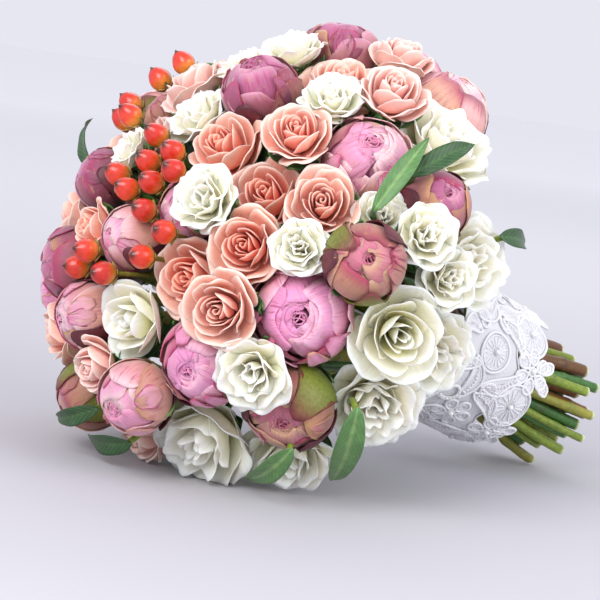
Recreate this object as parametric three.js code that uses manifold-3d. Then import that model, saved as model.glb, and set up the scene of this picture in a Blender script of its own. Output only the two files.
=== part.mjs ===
// A hand-tied round bouquet lying on a table: peony buds, spray roses, lisianthus and hypericum berries
// with a few leaves, tied at one point, the stems spiralling below the tie and wrapped in a lace sleeve.
// Millimetres. The bouquet is worked out in its own frame, with the middle of the flower head at the
// origin and the head's axis along +Z, and is then laid on its side in the pose in which it comes to rest.
import * as THREE from "three";
import { mergeVertices } from "three/addons/utils/BufferGeometryUtils.js";
import { ConvexHull } from "three/addons/math/ConvexHull.js";
import Module from "manifold-3d";

const wasm = await Module();
wasm.setup();

// The flower head is a flat dome.
const HEAD_RADIUS = 132; // from its axis to the outermost petals
const HEAD_DEPTH = 92; // from its middle to its top
const FOCUS_DROP = 45; // the flowers face away from a point this far down the handle

// The handle leans a little out of the head's axis.
const HANDLE_LEAN = 16; // degrees
const HANDLE_TURN = -12; // degrees about the head's axis, towards which it leans
const LYING_TIP = 36; // degrees that the head's axis points up as the bouquet lies on its side
const LYING_HEIGHT = 111; // from the head's middle down to what it lies on
const TIE_DROP = 115; // from the head's middle down to the tie
const STEM_LENGTH = 220; // from the head's middle down to the cut ends
const STEM_UNEVEN = 7; // the ends are cut this much longer or shorter
const TIE_RADIUS = 27; // the stem centres at the tie lie within this radius
const END_SPREAD = 1.28; // how much wider the bundle is at its cut ends than at the tie
const SPIRAL_TURN = 24; // degrees that the stems turn between the tie and their ends

const BINDING_WIDTH = 16;
const BINDING_THICKNESS = 1.2;
const LACE_TOP_DROP = 98; // from the head's middle down to the lace sleeve's upper edge
const LACE_END_DROP = 172; // and to its lower edge
const LACE_THICKNESS = 1.2;
const LACE_EASE = 1; // how loosely the lace lies round the stems and the binding
const LACE_RINGS = 4; // the lace follows the bundle's width at this many steps
const SLEEVE_SIDES = 20;
const TAPE_DENSITY = 800; // kg per cubic metre
const LACE_DENSITY = 300;

const FULLNESS = 1.1; // how much of their width the flowers fill as they press against each other
const CLEARANCE = 0.7; // between neighbouring plants
const FORK_DEPTH = 34; // a spray divides this far behind its flowers

const BERRY_LENGTH = 16;
const BERRY_WIDTH = 12;
const BERRY_SHARE = BERRY_WIDTH / BERRY_LENGTH;
const LEAF_THICKNESS = 1.6;
const LEAF_BOW = 0.12; // how far a leaf arches outward, as a share of its length
const LEAF_HEEL = 0.25; // how much of the blade lies behind the end of its stalk
const LEAF_ROOM = 4; // the gap between the flowers that a leaf comes out of
const LEAF_CLEAR = 10; // a leaf's midrib stays this far above what the bouquet lies on

const STEM_SIDES = 5;
const STEM_STEPS = 6; // from the tie to the flower or the fork
const HEAD_SEGMENTS = 7;

// Each kind of plant: stem and branch radius, and the outline of its flower as [radius, height] shares of
// the flower's own half width, from the stem end up.
const KINDS = {
  peony: {
    stem: 3,
    branch: 3,
    density: 300,
    colour: "#c9718f",
    outline: [[0, -0.9], [0.78, -0.5], [0.96, 0.2], [0.6, 0.74], [0, 0.9]],
  },
  rose: {
    stem: 2.4,
    branch: 1.7,
    density: 300,
    colour: "#f2a795",
    outline: [[0, -0.9], [0.62, -0.55], [0.92, 0.3], [0.6, 0.64], [0, 0.66]],
  },
  lisianthus: {
    stem: 2.2,
    branch: 1.6,
    density: 300,
    colour: "#f3efdf",
    outline: [[0, -0.86], [0.52, -0.56], [0.94, 0.22], [0.62, 0.5], [0, 0.5]],
  },
  hypericum: {
    stem: 2,
    branch: 1.4,
    density: 600,
    colour: "#d8402c",
    outline: [[0, -1], [BERRY_SHARE, -0.3], [0.8 * BERRY_SHARE, 0.4], [0, 1]],
  },
  foliage: { stem: 1.9, branch: 1.5, density: 600, colour: "#3f7a3c" },
};

// The arrangement. Each flower is [tilt, turn, width]: degrees away from the head's axis, degrees about it
// from the side that lies on the table, and how wide the flower is in millimetres.
const PEONIES = [
  [68, -178, 38], [33, 171, 35], [88, 158, 40], [60, 118, 40], [78, 109, 30], [73, 87, 33],
  [70, 67, 43], [67, 36, 38], [90, 50, 37], [74, 13, 32], [86, -18, 32], [61, -13, 31],
  [34, -9, 29], [22, 43, 31], [44, -71, 28], [53, -113, 26], [58, -41, 33], [70, -110, 34],
  [88, 179, 34], [80, -55, 34], [94, -79, 36], [102, -149, 34],
].map((flower) => [flower]);
const ROSES = [
  [[53, 153, 36]],
  [[15, 140, 31], [41, 112, 27]],
  [[40, 90, 34], [58, 92, 29]],
  [[50, 66, 30], [59, 50, 30]],
  [[45, 32, 33]],
  [[43, -137, 30], [36, -106, 27]],
  [[64, 141, 28], [76, 165, 26]],
  [[41, -36, 22], [63, -67, 32]],
  [[68, 1, 24], [96, -2, 26]],
  [[56, -91, 33]],
  [[62, -135, 33], [82, -139, 33]],
  [[75, -35, 32], [95, -39, 32]],
  [[76, -87, 30], [89, -100, 33]],
];
const LISIANTHUS = [
  [[87, 81, 40], [96, 66, 36]],
  [[54, 13, 34]],
  [[91, 20, 44]],
  [[77, 50, 28], [104, 37, 34]],
  [[79, 136, 39], [52, 134, 24]],
  [[77, 98, 24], [66, 99, 22], [87, 95, 24]],
  [[31, 60, 26], [57, 80, 22]],
  [[22, -166, 26], [28, -83, 20]],
  [[44, -155, 24], [51, -178, 25]],
  [[70, -156, 34], [88, -161, 34]],
  [[105, -21, 36]],
  [[95, 107, 36], [107, 84, 34]],
  [[87, -119, 36], [105, -129, 34]],
  [[103, -57, 36], [108, -83, 30]],
];
// Berries are [tilt, turn].
const BERRIES = [
  [[14, -98], [5, 45], [11, -33], [24, -55], [21, -27], [22, 8], [16, 8], [12, 31]],
  [[54, -130], [54, -119], [53, -108], [47, -99], [32, -101]],
  [[47, -19], [41, -15], [45, 0], [35, 34], [39, 22]],
];
// Leaves are { from, to, width, lift }: where the blade starts and ends as [tilt, turn], how wide it is, and
// how far its tip stands off the flowers.
const LEAVES = [
  [
    { from: [66, 102], to: [68, 119], width: 12, lift: 5 },
    { from: [72, 114], to: [78, 124], width: 13, lift: 5 },
  ],
  [
    { from: [97, 60], to: [113, 45], width: 17, lift: 4 },
    { from: [93, 44], to: [104, 27], width: 15, lift: 3 },
  ],
  [
    { from: [85, 4], to: [89, -9], width: 15, lift: 3 },
    { from: [79, -5], to: [83, -16], width: 12, lift: 5 },
  ],
  [
    { from: [50, -82], to: [53, -94], width: 14, lift: 9 },
    { from: [72, -124], to: [86, -130], width: 15, lift: 6 },
  ],
  [
    { from: [98, -120], to: [112, -108], width: 15, lift: 6 },
    { from: [102, 118], to: [116, 128], width: 15, lift: 6 },
  ],
];

const degrees = THREE.MathUtils.degToRad;
const headAxis = new THREE.Vector3(0, 0, 1);
const direction = (tilt, turn) =>
  new THREE.Vector3(
    Math.sin(degrees(tilt)) * Math.cos(degrees(turn)),
    Math.sin(degrees(tilt)) * Math.sin(degrees(turn)),
    Math.cos(degrees(tilt)),
  );
// How far the dome's surface is from its middle in a direction.
const domeReach = (way) => 1 / Math.hypot(Math.hypot(way.x, way.y) / HEAD_RADIUS, way.z / HEAD_DEPTH);

const handleAxis = direction(HANDLE_LEAN, HANDLE_TURN); // from the cut ends up to the head
const handleFrame = new THREE.Quaternion().setFromUnitVectors(headAxis, handleAxis);
const onHandle = (x, y, drop) => new THREE.Vector3(x, y, -drop).applyQuaternion(handleFrame);
const lieDown = direction(90 + LYING_TIP, 0);
const focus = onHandle(0, 0, FOCUS_DROP);
const facingOf = (point) => point.clone().sub(focus).normalize();

// ---- solids

function solidOf(geometry) {
  const bare = geometry.index ? geometry.toNonIndexed() : geometry.clone();
  for (const name of Object.keys(bare.attributes)) {
    if (name !== "position") bare.deleteAttribute(name);
  }
  const merged = mergeVertices(bare, 1e-4);
  return new wasm.Manifold(
    new wasm.Mesh({
      numProp: 3,
      vertProperties: merged.attributes.position.array,
      triVerts: new Uint32Array(merged.index.array),
    }),
  );
}

function geometryOf(solid) {
  const mesh = solid.getMesh();
  const vertices = Float32Array.from({ length: 3 * mesh.numVert }, (_, i) => mesh.vertProperties[i]);
  const geometry = new THREE.BufferGeometry();
  geometry.setAttribute("position", new THREE.BufferAttribute(vertices, 3));
  geometry.setIndex(new THREE.BufferAttribute(mesh.triVerts, 1));
  geometry.computeVertexNormals();
  return geometry;
}

// A stem's path: straight pieces between its points, so that a tube's steps fall on the points themselves.
class StemPath extends THREE.Curve {
  constructor(points) {
    super();
    this.points = points;
  }
  getPoint(t, target = new THREE.Vector3()) {
    const along = t * (this.points.length - 1);
    const i = Math.min(Math.floor(along), this.points.length - 2);
    return target.lerpVectors(this.points[i], this.points[i + 1], along - i);
  }
  getPointAt(u, target) {
    return this.getPoint(u, target);
  }
  getTangentAt(u, target) {
    return this.getTangent(u, target);
  }
}

function stemSolid(points, radius) {
  const corner = (i) => {
    const angle = (2 * Math.PI * i) / STEM_SIDES;
    return new THREE.Vector2(radius * Math.cos(angle), radius * Math.sin(angle));
  };
  const section = new THREE.Shape(Array.from({ length: STEM_SIDES }, (_, i) => corner(i)));
  return solidOf(
    new THREE.ExtrudeGeometry(section, {
      steps: points.length - 1,
      extrudePath: new StemPath(points),
      bevelEnabled: false,
    }),
  );
}

function turnedSolid(outline, radius, segments) {
  const profile = outline.map(([across, up]) => new THREE.Vector2(across * radius, up * radius));
  return solidOf(new THREE.LatheGeometry(profile, segments).rotateX(Math.PI / 2));
}

function placed(solid, position, facing) {
  const turn = new THREE.Quaternion().setFromUnitVectors(headAxis, facing);
  const matrix = new THREE.Matrix4().compose(position, turn, new THREE.Vector3(1, 1, 1));
  return solid.transform(matrix.elements);
}

function bladeSolid(leaf) {
  const blade = new THREE.SphereGeometry(1, 6, 6);
  const midrib = midribOf(leaf);
  const out = facingOf(midrib.v1);
  const vertex = blade.attributes.position;
  for (let i = 0; i < vertex.count; i++) {
    const t = (vertex.getY(i) + 1) / 2;
    const along = midrib.getTangent(t);
    const side = along.clone().cross(out).normalize();
    const face = side.clone().cross(along).normalize();
    const point = midrib
      .getPoint(t)
      .addScaledVector(side, (vertex.getX(i) * leaf.width) / 2)
      .addScaledVector(face, (vertex.getZ(i) * LEAF_THICKNESS) / 2);
    vertex.setXYZ(i, ...point);
  }
  return solidOf(blade);
}

// ---- where everything goes

// Keeps a point this far clear of the surface that the bouquet lies on.
function keepUp(point, room) {
  const below = point.dot(lieDown) + room - LYING_HEIGHT;
  if (below > 0) point.addScaledVector(lieDown, -below);
  return point;
}

// A flower sits with its outer petals on the dome.
function makeFlower(kind, [tilt, turn, width]) {
  const way = direction(tilt, turn);
  const radius = (width / 2) * FULLNESS;
  const home = way.clone().multiplyScalar(domeReach(way) - 0.9 * radius);
  return { kind, radius, home, centre: home.clone(), foot: new THREE.Vector3() };
}

function makeBerry([tilt, turn]) {
  const way = direction(tilt, turn);
  const home = way.clone().multiplyScalar(domeReach(way) - 0.3 * BERRY_LENGTH);
  const foot = new THREE.Vector3();
  return { kind: "hypericum", radius: BERRY_LENGTH / 2, home, centre: home.clone(), foot };
}

function makeLeaf({ from, to, width, lift }) {
  const start = direction(...from);
  const end = direction(...to);
  const home = start.multiplyScalar(domeReach(start) - LEAF_ROOM);
  const tip = keepUp(end.multiplyScalar(domeReach(end) + lift), LEAF_CLEAR);
  const foot = new THREE.Vector3();
  return { kind: "foliage", radius: LEAF_ROOM, width, home, centre: home.clone(), tip, foot };
}

// A leaf's midrib arches from a little behind the end of its stalk to its tip.
function midribOf({ centre, tip }) {
  const start = centre.clone().lerp(tip, -LEAF_HEEL);
  const middle = start.clone().lerp(tip, 0.5);
  middle.addScaledVector(facingOf(middle), 2 * LEAF_BOW * start.distanceTo(tip));
  keepUp(middle, LEAF_CLEAR);
  return new THREE.QuadraticBezierCurve3(start, middle, tip);
}

function makePlants() {
  const plants = [];
  const add = (name, kind, lists, make) =>
    lists.forEach((list, i) =>
      plants.push({
        name: `${name}_${String(i + 1).padStart(2, "0")}`,
        kind,
        heads: list.map((entry) => make(entry)),
      }),
    );
  add("peony", "peony", PEONIES, (flower) => makeFlower("peony", flower));
  add("spray_rose", "rose", ROSES, (flower) => makeFlower("rose", flower));
  add("lisianthus", "lisianthus", LISIANTHUS, (flower) => makeFlower("lisianthus", flower));
  add("hypericum", "hypericum", BERRIES, makeBerry);
  add("foliage", "foliage", LEAVES, makeLeaf);
  return plants;
}

// Pushes two round things apart where they are closer than their radii and the clearance allow.
function pushApart(a, b, room) {
  const gap = a.distanceTo(b);
  if (gap >= room || gap === 0) return;
  const push = b.clone().sub(a).multiplyScalar((room - gap) / 2 / gap);
  a.sub(push);
  b.add(push);
}

// Packs the flowers side by side, flat along the side that they lie on.
function settleFlowers(heads) {
  for (let round = 0; round < 400; round++) {
    for (const head of heads) {
      if (round < 330) head.centre.lerp(head.home, 0.06);
      keepUp(head.centre, head.radius);
    }
    for (let i = 0; i < heads.length; i++) {
      for (let j = i + 1; j < heads.length; j++) {
        pushApart(heads[i].centre, heads[j].centre, heads[i].radius + heads[j].radius + CLEARANCE);
      }
    }
  }
}

// Each stem's place at the tie: on the side its flowers are on, and further out the more they lean out.
function settleSlots(plants) {
  const handleTurned = handleFrame.clone().invert();
  for (const plant of plants) {
    const middle = new THREE.Vector3();
    plant.heads.forEach((head) => middle.add(head.centre));
    const way = middle.divideScalar(plant.heads.length).sub(focus).applyQuaternion(handleTurned);
    plant.lean = Math.atan2(Math.hypot(way.x, way.y), way.z);
    plant.bearing = Math.atan2(way.y, way.x);
  }
  const byLean = [...plants].sort((a, b) => a.lean - b.lean);
  byLean.forEach((plant, rank) => {
    const reach = TIE_RADIUS * Math.sqrt((rank + 0.3) / plants.length);
    const way = new THREE.Vector3(Math.cos(plant.bearing), Math.sin(plant.bearing), 0);
    plant.slotHome = way.multiplyScalar(reach);
    plant.slot = plant.slotHome.clone();
  });
  for (let round = 0; round < 600; round++) {
    for (const plant of plants) {
      if (round < 400) plant.slot.lerp(plant.slotHome, 0.03);
      const limit = TIE_RADIUS - KINDS[plant.kind].stem;
      if (plant.slot.length() > limit) plant.slot.setLength(limit);
    }
    for (let i = 0; i < plants.length; i++) {
      for (let j = i + 1; j < plants.length; j++) {
        const room = KINDS[plants[i].kind].stem + KINDS[plants[j].kind].stem + CLEARANCE;
        pushApart(plants[i].slot, plants[j].slot, room);
      }
    }
  }
}

// Strands: the stem from its cut end through the tie to the flower or the fork, and a branch to each
// flower.
function makeStrands(plants) {
  plants.forEach((plant, i) => {
    const kind = KINDS[plant.kind];
    const spread = plant.slot
      .clone()
      .multiplyScalar(END_SPREAD)
      .applyAxisAngle(headAxis, degrees(SPIRAL_TURN));
    const end = onHandle(spread.x, spread.y, STEM_LENGTH + STEM_UNEVEN * Math.sin(2.4 * i));
    const slot = onHandle(plant.slot.x, plant.slot.y, TIE_DROP);
    plant.heads.forEach(placeFoot);
    const forked = plant.heads.length > 1;
    const top = forked ? new THREE.Vector3() : plant.heads[0].foot;
    if (forked) {
      plant.heads.forEach((head) => top.add(head.foot));
      top.divideScalar(plant.heads.length);
      top.addScaledVector(facingOf(top), -FORK_DEPTH);
    }
    const rise = slot.clone().sub(end).setLength(TIE_DROP / 2.6);
    const bend = facingOf(top).multiplyScalar(-TIE_DROP / 4);
    const route = new THREE.CubicBezierCurve3(slot, slot.clone().add(rise), top.clone().add(bend), top);
    const points = route.getPoints(STEM_STEPS);
    points[0] = slot;
    points[STEM_STEPS] = top;
    plant.strands = [{ plant, points: [end, ...points], radius: kind.stem }];
    if (!forked) return;
    for (const head of plant.heads) {
      const middle = top.clone().lerp(head.foot, 0.5);
      plant.strands.push({ plant, points: [top, middle, head.foot], radius: kind.branch });
    }
  });
}

function placeFoot(head) {
  if (head.kind === "foliage") head.foot.copy(midribOf(head).getPoint(LEAF_HEEL));
  else head.foot.copy(head.centre).addScaledVector(facingOf(head.centre), -0.8 * head.radius);
}

// The closest points of two straight pieces, as shares of their lengths.
const [across, first, second] = [0, 1, 2].map(() => new THREE.Vector3());
function closestShares(a, b, c, d) {
  first.subVectors(b, a);
  second.subVectors(d, c);
  across.subVectors(a, c);
  const clamp = (x) => Math.min(1, Math.max(0, x));
  const [ff, ss, fs] = [first.lengthSq(), second.lengthSq(), first.dot(second)];
  const [fa, sa] = [first.dot(across), second.dot(across)];
  const spread = ff * ss - fs * fs;
  let s = spread > 1e-9 ? clamp((fs * sa - fa * ss) / spread) : 0.5;
  const t = clamp((fs * s + sa) / ss);
  s = clamp((fs * t - fa) / ff);
  return [s, t];
}

const [here, there, push] = [0, 1, 2].map(() => new THREE.Vector3());
function settleStrands(plants, heads) {
  const pieces = [];
  const feet = new Set(heads.map((head) => head.foot));
  for (const plant of plants) {
    for (const [s, strand] of plant.strands.entries()) {
      const from = s === 0 ? 1 : 0; // the straight piece below the tie stays as it is
      for (let i = from; i < strand.points.length - 1; i++) {
        const ends = [strand.points[i], strand.points[i + 1]];
        const free = ends.map((p) => (feet.has(p) || (s === 0 && p === strand.points[1]) ? 0 : 1));
        pieces.push({ plant, ends, free, radius: strand.radius, last: feet.has(ends[1]) });
      }
    }
  }
  const move = (piece, share, amount) => {
    piece.ends[0].addScaledVector(push, amount * (1 - share) * piece.free[0]);
    piece.ends[1].addScaledVector(push, amount * share * piece.free[1]);
  };
  for (let round = 0; round < 300; round++) {
    for (const { strands } of plants) {
      for (const { points } of strands) {
        for (let i = 2; i < points.length - 1 && round < 240; i++) {
          here.addVectors(points[i - 1], points[i + 1]).multiplyScalar(0.5);
          points[i].lerp(here, 0.1);
        }
      }
    }
    for (const [i, piece] of pieces.entries()) {
      for (let j = i + 1; j < pieces.length; j++) {
        const other = pieces[j];
        if (other.plant === piece.plant) continue;
        const room = piece.radius + other.radius + CLEARANCE;
        const lengths = piece.ends[0].distanceTo(piece.ends[1]) + other.ends[0].distanceTo(other.ends[1]);
        if (piece.ends[0].distanceTo(other.ends[0]) > room + lengths) continue;
        const [s, t] = closestShares(...piece.ends, ...other.ends);
        here.lerpVectors(...piece.ends, s);
        there.lerpVectors(...other.ends, t);
        const gap = here.distanceTo(there);
        if (gap >= room) continue;
        push.subVectors(there, here).multiplyScalar((room - gap) / 2 / Math.max(gap, 1e-6));
        move(piece, s, -1);
        move(other, t, 1);
      }
      for (const head of heads) {
        if (head.kind === "foliage" || piece.plant.heads.includes(head)) continue;
        const room = head.radius + piece.radius + CLEARANCE;
        first.subVectors(piece.ends[1], piece.ends[0]);
        const along = push.subVectors(head.centre, piece.ends[0]).dot(first) / first.lengthSq();
        const share = Math.min(1, Math.max(0, along));
        here.lerpVectors(...piece.ends, share);
        const gap = here.distanceTo(head.centre);
        if (gap >= room) continue;
        push.subVectors(here, head.centre).multiplyScalar((room - gap) / gap);
        move(piece, share, 1);
      }
    }
  }
}

// ---- the pieces

function plantSolid(plant, grow = 0) {
  const kind = KINDS[plant.kind];
  const parts = plant.strands.map(({ points, radius }) => stemSolid(points, radius + grow));
  for (const head of plant.heads) {
    const segments = plant.kind === "hypericum" ? 5 : HEAD_SEGMENTS;
    const flower = turnedSolid(kind.outline, head.radius + grow, segments);
    parts.push(placed(flower, head.centre, facingOf(head.centre)));
  }
  return parts.reduce((whole, part) => whole.add(part));
}

// A leaf's blade gives way to the flowers that it lies between.
function foliageSolid(plant, rooms) {
  const stems = plant.strands
    .map(({ points, radius }) => stemSolid(points, radius))
    .reduce((whole, part) => whole.add(part));
  return plant.heads.reduce((whole, leaf) => {
    const blade = rooms.reduce((left, room) => left.subtract(room), bladeSolid(leaf));
    return whole.add(blade.decompose().find((piece) => piece.intersect(stems).volume() > 0));
  }, stems);
}

// A sleeve round the handle: [drop, inner radius, outer radius] down its length.
function sleeveSolid(rings) {
  const outside = rings.map(([drop, , outer]) => new THREE.Vector2(outer, -drop));
  const inside = rings.map(([drop, inner]) => new THREE.Vector2(inner, -drop)).reverse();
  const profile = [...outside, ...inside, outside[0]].reverse();
  const sleeve = new THREE.LatheGeometry(profile, SLEEVE_SIDES).rotateX(Math.PI / 2);
  return solidOf(sleeve.applyQuaternion(handleFrame));
}

// The bundle's radius at a drop down the handle, from the stems themselves.
function bundleRadius(plants, drop) {
  const handleTurned = handleFrame.clone().invert();
  let reach = 0;
  for (const { strands } of plants) {
    for (const { points, radius } of strands) {
      for (let i = 0; i < points.length - 1; i++) {
        const a = points[i].clone().applyQuaternion(handleTurned);
        const b = points[i + 1].clone().applyQuaternion(handleTurned);
        const share = (-drop - a.z) / (b.z - a.z);
        if (share < 0 || share > 1) continue;
        a.lerp(b, share);
        const slant = points[i].distanceTo(points[i + 1]) / Math.abs(b.z - a.z || 1);
        reach = Math.max(reach, Math.hypot(a.x, a.y) + radius * Math.min(1.5, Math.max(1, slant)));
      }
    }
  }
  return reach;
}

const plants = makePlants();
const heads = plants.flatMap((plant) => plant.heads);
settleFlowers(heads);
settleSlots(plants);
makeStrands(plants);
settleStrands(plants, heads);

const pieces = [];
const addPiece = (name, solid, colour, density, roughness = 0.7) => {
  const material = new THREE.MeshStandardMaterial({ color: colour, roughness, metalness: 0 });
  const mesh = new THREE.Mesh(geometryOf(solid), material);
  mesh.name = name;
  pieces.push({ mesh, density });
};
const rooms = plants
  .filter((plant) => plant.kind !== "foliage")
  .map((plant) => plantSolid(plant, CLEARANCE / 2));
for (const plant of plants) {
  const kind = KINDS[plant.kind];
  const solid = plant.kind === "foliage" ? foliageSolid(plant, rooms) : plantSolid(plant);
  addPiece(plant.name, solid, kind.colour, kind.density);
}

const widest = (from, to) => {
  const LOOKS = 8;
  const drops = Array.from({ length: LOOKS + 1 }, (_, i) => from + ((to - from) * i) / LOOKS);
  return Math.max(...drops.map((drop) => bundleRadius(plants, drop)));
};
const bindingEnds = [TIE_DROP - BINDING_WIDTH / 2, TIE_DROP + BINDING_WIDTH / 2];
const bindingInner = widest(...bindingEnds) + CLEARANCE;
const bindingOuter = bindingInner + BINDING_THICKNESS;
const bindingRings = bindingEnds.map((drop) => [drop, bindingInner, bindingOuter]);
addPiece("binding_tape", sleeveSolid(bindingRings), "#5f8f4e", TAPE_DENSITY);

const laceStep = (LACE_END_DROP - LACE_TOP_DROP) / LACE_RINGS;
const laceRings = Array.from({ length: LACE_RINGS + 1 }, (_, i) => {
  const drop = LACE_TOP_DROP + laceStep * i;
  const bundle = widest(Math.max(drop - laceStep / 2, LACE_TOP_DROP), drop + laceStep / 2);
  const inner = Math.max(bundle + CLEARANCE, bindingOuter) + LACE_EASE;
  return [drop, inner, inner + LACE_THICKNESS];
});
addPiece("lace_wrap", sleeveSolid(laceRings), "#eceaf0", LACE_DENSITY);

// ---- lying down

// The centre of mass of all the pieces.
function massCentre() {
  const centre = new THREE.Vector3();
  let mass = 0;
  const [a, b, c, normal] = [0, 1, 2, 3].map(() => new THREE.Vector3());
  for (const { mesh, density } of pieces) {
    const { index, attributes } = mesh.geometry;
    for (let i = 0; i < index.count; i += 3) {
      a.fromBufferAttribute(attributes.position, index.getX(i));
      b.fromBufferAttribute(attributes.position, index.getX(i + 1));
      c.fromBufferAttribute(attributes.position, index.getX(i + 2));
      const share = (density * a.dot(normal.crossVectors(b, c))) / 6;
      mass += share;
      centre.addScaledVector(a.add(b).add(c), share / 4);
    }
  }
  return centre.divideScalar(mass);
}

function allVertices() {
  return pieces.flatMap(({ mesh }) => {
    const { position } = mesh.geometry.attributes;
    const vertexAt = (_, i) => new THREE.Vector3().fromBufferAttribute(position, i);
    return Array.from({ length: position.count }, vertexAt);
  });
}

// Rolls the bouquet over the faces of its hull until its centre of mass stands over the face it lies on,
// and gives that face's way down.
function restingDown(points, centre, start) {
  const { faces } = new ConvexHull().setFromPoints(points);
  let face = faces.reduce((best, next) => (next.normal.dot(start) > best.normal.dot(start) ? next : best));
  for (;;) {
    let over = null;
    let edge = face.edge;
    do {
      const out = edge.head().point.clone().sub(edge.tail().point).cross(face.normal);
      if (centre.clone().sub(edge.tail().point).dot(out) > 0) over = edge;
      edge = edge.next;
    } while (edge !== face.edge);
    if (!over) return face.normal.clone();
    face = over.twin.face;
  }
}

const vertices = allVertices();
const up = restingDown(vertices, massCentre(), lieDown).negate();

// The handle points along +X, the side that lies on the table faces down.
const along = handleAxis.clone().negate().projectOnPlane(up).normalize();
const sideways = up.clone().cross(along);
const lying = new THREE.Matrix4().makeBasis(along, sideways, up).invert();
const box = new THREE.Box3().setFromPoints(vertices.map((vertex) => vertex.clone().applyMatrix4(lying)));
const middle = box.getCenter(new THREE.Vector3());

const bouquet = new THREE.Group();
bouquet.name = "bouquet";
const arrangement = new THREE.Group();
arrangement.name = "arrangement";
arrangement.quaternion.setFromRotationMatrix(lying);
arrangement.position.set(-middle.x, -middle.y, -box.min.z);
pieces.forEach(({ mesh }) => arrangement.add(mesh));
bouquet.add(arrangement);

export default bouquet;
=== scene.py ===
"""A hand-tied bouquet lying on its side: peony buds, spray roses, lisianthus and hypericum with a few
leaves, the stems bound with tape and dressed with a sleeve of corded lace. Lengths are in millimetres, and
in metres where they go to Blender."""
import math
import bpy
import numpy as np
from mathutils import Matrix, Vector
from mathutils.bvhtree import BVHTree


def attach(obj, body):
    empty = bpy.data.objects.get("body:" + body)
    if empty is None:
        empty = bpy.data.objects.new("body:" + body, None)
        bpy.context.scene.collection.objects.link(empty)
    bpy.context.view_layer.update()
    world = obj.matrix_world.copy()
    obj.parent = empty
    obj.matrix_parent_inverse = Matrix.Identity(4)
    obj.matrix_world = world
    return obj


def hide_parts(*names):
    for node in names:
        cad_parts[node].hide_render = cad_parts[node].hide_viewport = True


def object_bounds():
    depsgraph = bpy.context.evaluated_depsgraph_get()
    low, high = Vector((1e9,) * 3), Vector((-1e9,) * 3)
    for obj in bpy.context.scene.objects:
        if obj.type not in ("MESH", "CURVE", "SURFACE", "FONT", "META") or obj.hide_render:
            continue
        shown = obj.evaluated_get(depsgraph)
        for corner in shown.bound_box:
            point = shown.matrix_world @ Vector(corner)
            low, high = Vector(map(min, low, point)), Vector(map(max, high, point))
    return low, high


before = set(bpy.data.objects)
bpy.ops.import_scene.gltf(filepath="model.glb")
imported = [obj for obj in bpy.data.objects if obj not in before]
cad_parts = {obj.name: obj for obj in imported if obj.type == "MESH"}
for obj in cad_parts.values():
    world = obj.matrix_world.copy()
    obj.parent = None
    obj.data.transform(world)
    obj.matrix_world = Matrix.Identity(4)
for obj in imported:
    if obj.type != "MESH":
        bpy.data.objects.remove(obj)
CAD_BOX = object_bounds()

MM = 0.001
BOX_MARGIN = 0.0002   # every made piece stays this far, in metres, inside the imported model's box
FULL_TURN = 6.28      # radians, for a random start
FIFTH = 1.257         # a fifth of a turn, for what grows in fives
STEM_SIDES = 5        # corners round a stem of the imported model
WELD = 0.002          # two of its corners closer than this are one
MOST_WRAP = 2.6       # radians that half a petal can wrap round its flower
SEED = 1200           # each plant draws its random numbers from this and its place in the list
TIE_DROP = 115.0      # from the head's middle down the handle to the binding
FOCUS_DROP = 45.0     # every flower faces away from this point of the handle
LACE_TOP = 98.0       # the sleeve's upper edge, down the handle
LACE_END = 172.0      # and its lower edge

# Each kind's outline near its top, as shares of the flower's half width: the last ring's radius and height,
# the height of the top, and how many sides the solid has.
TOPS = {
    "peony": (0.6, 0.74, 0.9, 7),
    "spray_rose": (0.6, 0.64, 0.66, 7),
    "lisianthus": (0.62, 0.5, 0.5, 7),
    "hypericum": (0.6, 0.4, 1.0, 5),
}
STEM_RADIUS = {"peony": 3.0, "spray_rose": 2.4, "lisianthus": 2.2, "hypericum": 2.0, "foliage": 1.9}
BRANCH_RADIUS = {"peony": 3.0, "spray_rose": 1.7, "lisianthus": 1.6, "hypericum": 1.2, "foliage": 1.4}


def linear(hex_colour):
    """An sRGB hex colour as linear red, green and blue."""
    channels = [int(hex_colour[i : i + 2], 16) / 255 for i in (1, 3, 5)]
    return np.array([c / 12.92 if c <= 0.04045 else ((c + 0.055) / 1.055) ** 2.4 for c in channels])


def mixed(one, other, share):
    """A hex colour between two others."""
    both = zip((one[1:3], one[3:5], one[5:7]), (other[1:3], other[3:5], other[5:7]))
    return "#" + "".join("%02x" % round(int(a, 16) * (1 - share) + int(b, 16) * share) for a, b in both)


def unit(v):
    """The same direction, one long."""
    v = np.asarray(v, dtype=float)
    return v / np.linalg.norm(v)


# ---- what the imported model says

def solid_of(name):
    """A CAD node's points in millimetres and its triangles, with the loose corners joined."""
    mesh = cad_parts[name].data
    points = np.empty(3 * len(mesh.vertices))
    mesh.vertices.foreach_get("co", points)
    points = points.reshape(-1, 3) / MM
    mesh.calc_loop_triangles()
    triangles = np.empty(3 * len(mesh.loop_triangles), dtype=np.int32)
    mesh.loop_triangles.foreach_get("vertices", triangles)
    places = np.round(points / WELD).astype(np.int64)
    _, first, which = np.unique(places, axis=0, return_index=True, return_inverse=True)
    return points[first], which.reshape(-1)[triangles].reshape(-1, 3)


def neighbours_of(triangles, count):
    """For each point, the points that share an edge with it."""
    near = [set() for _ in range(count)]
    for a, b, c in triangles:
        near[a] |= {b, c}
        near[b] |= {a, c}
        near[c] |= {a, b}
    return near


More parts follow.
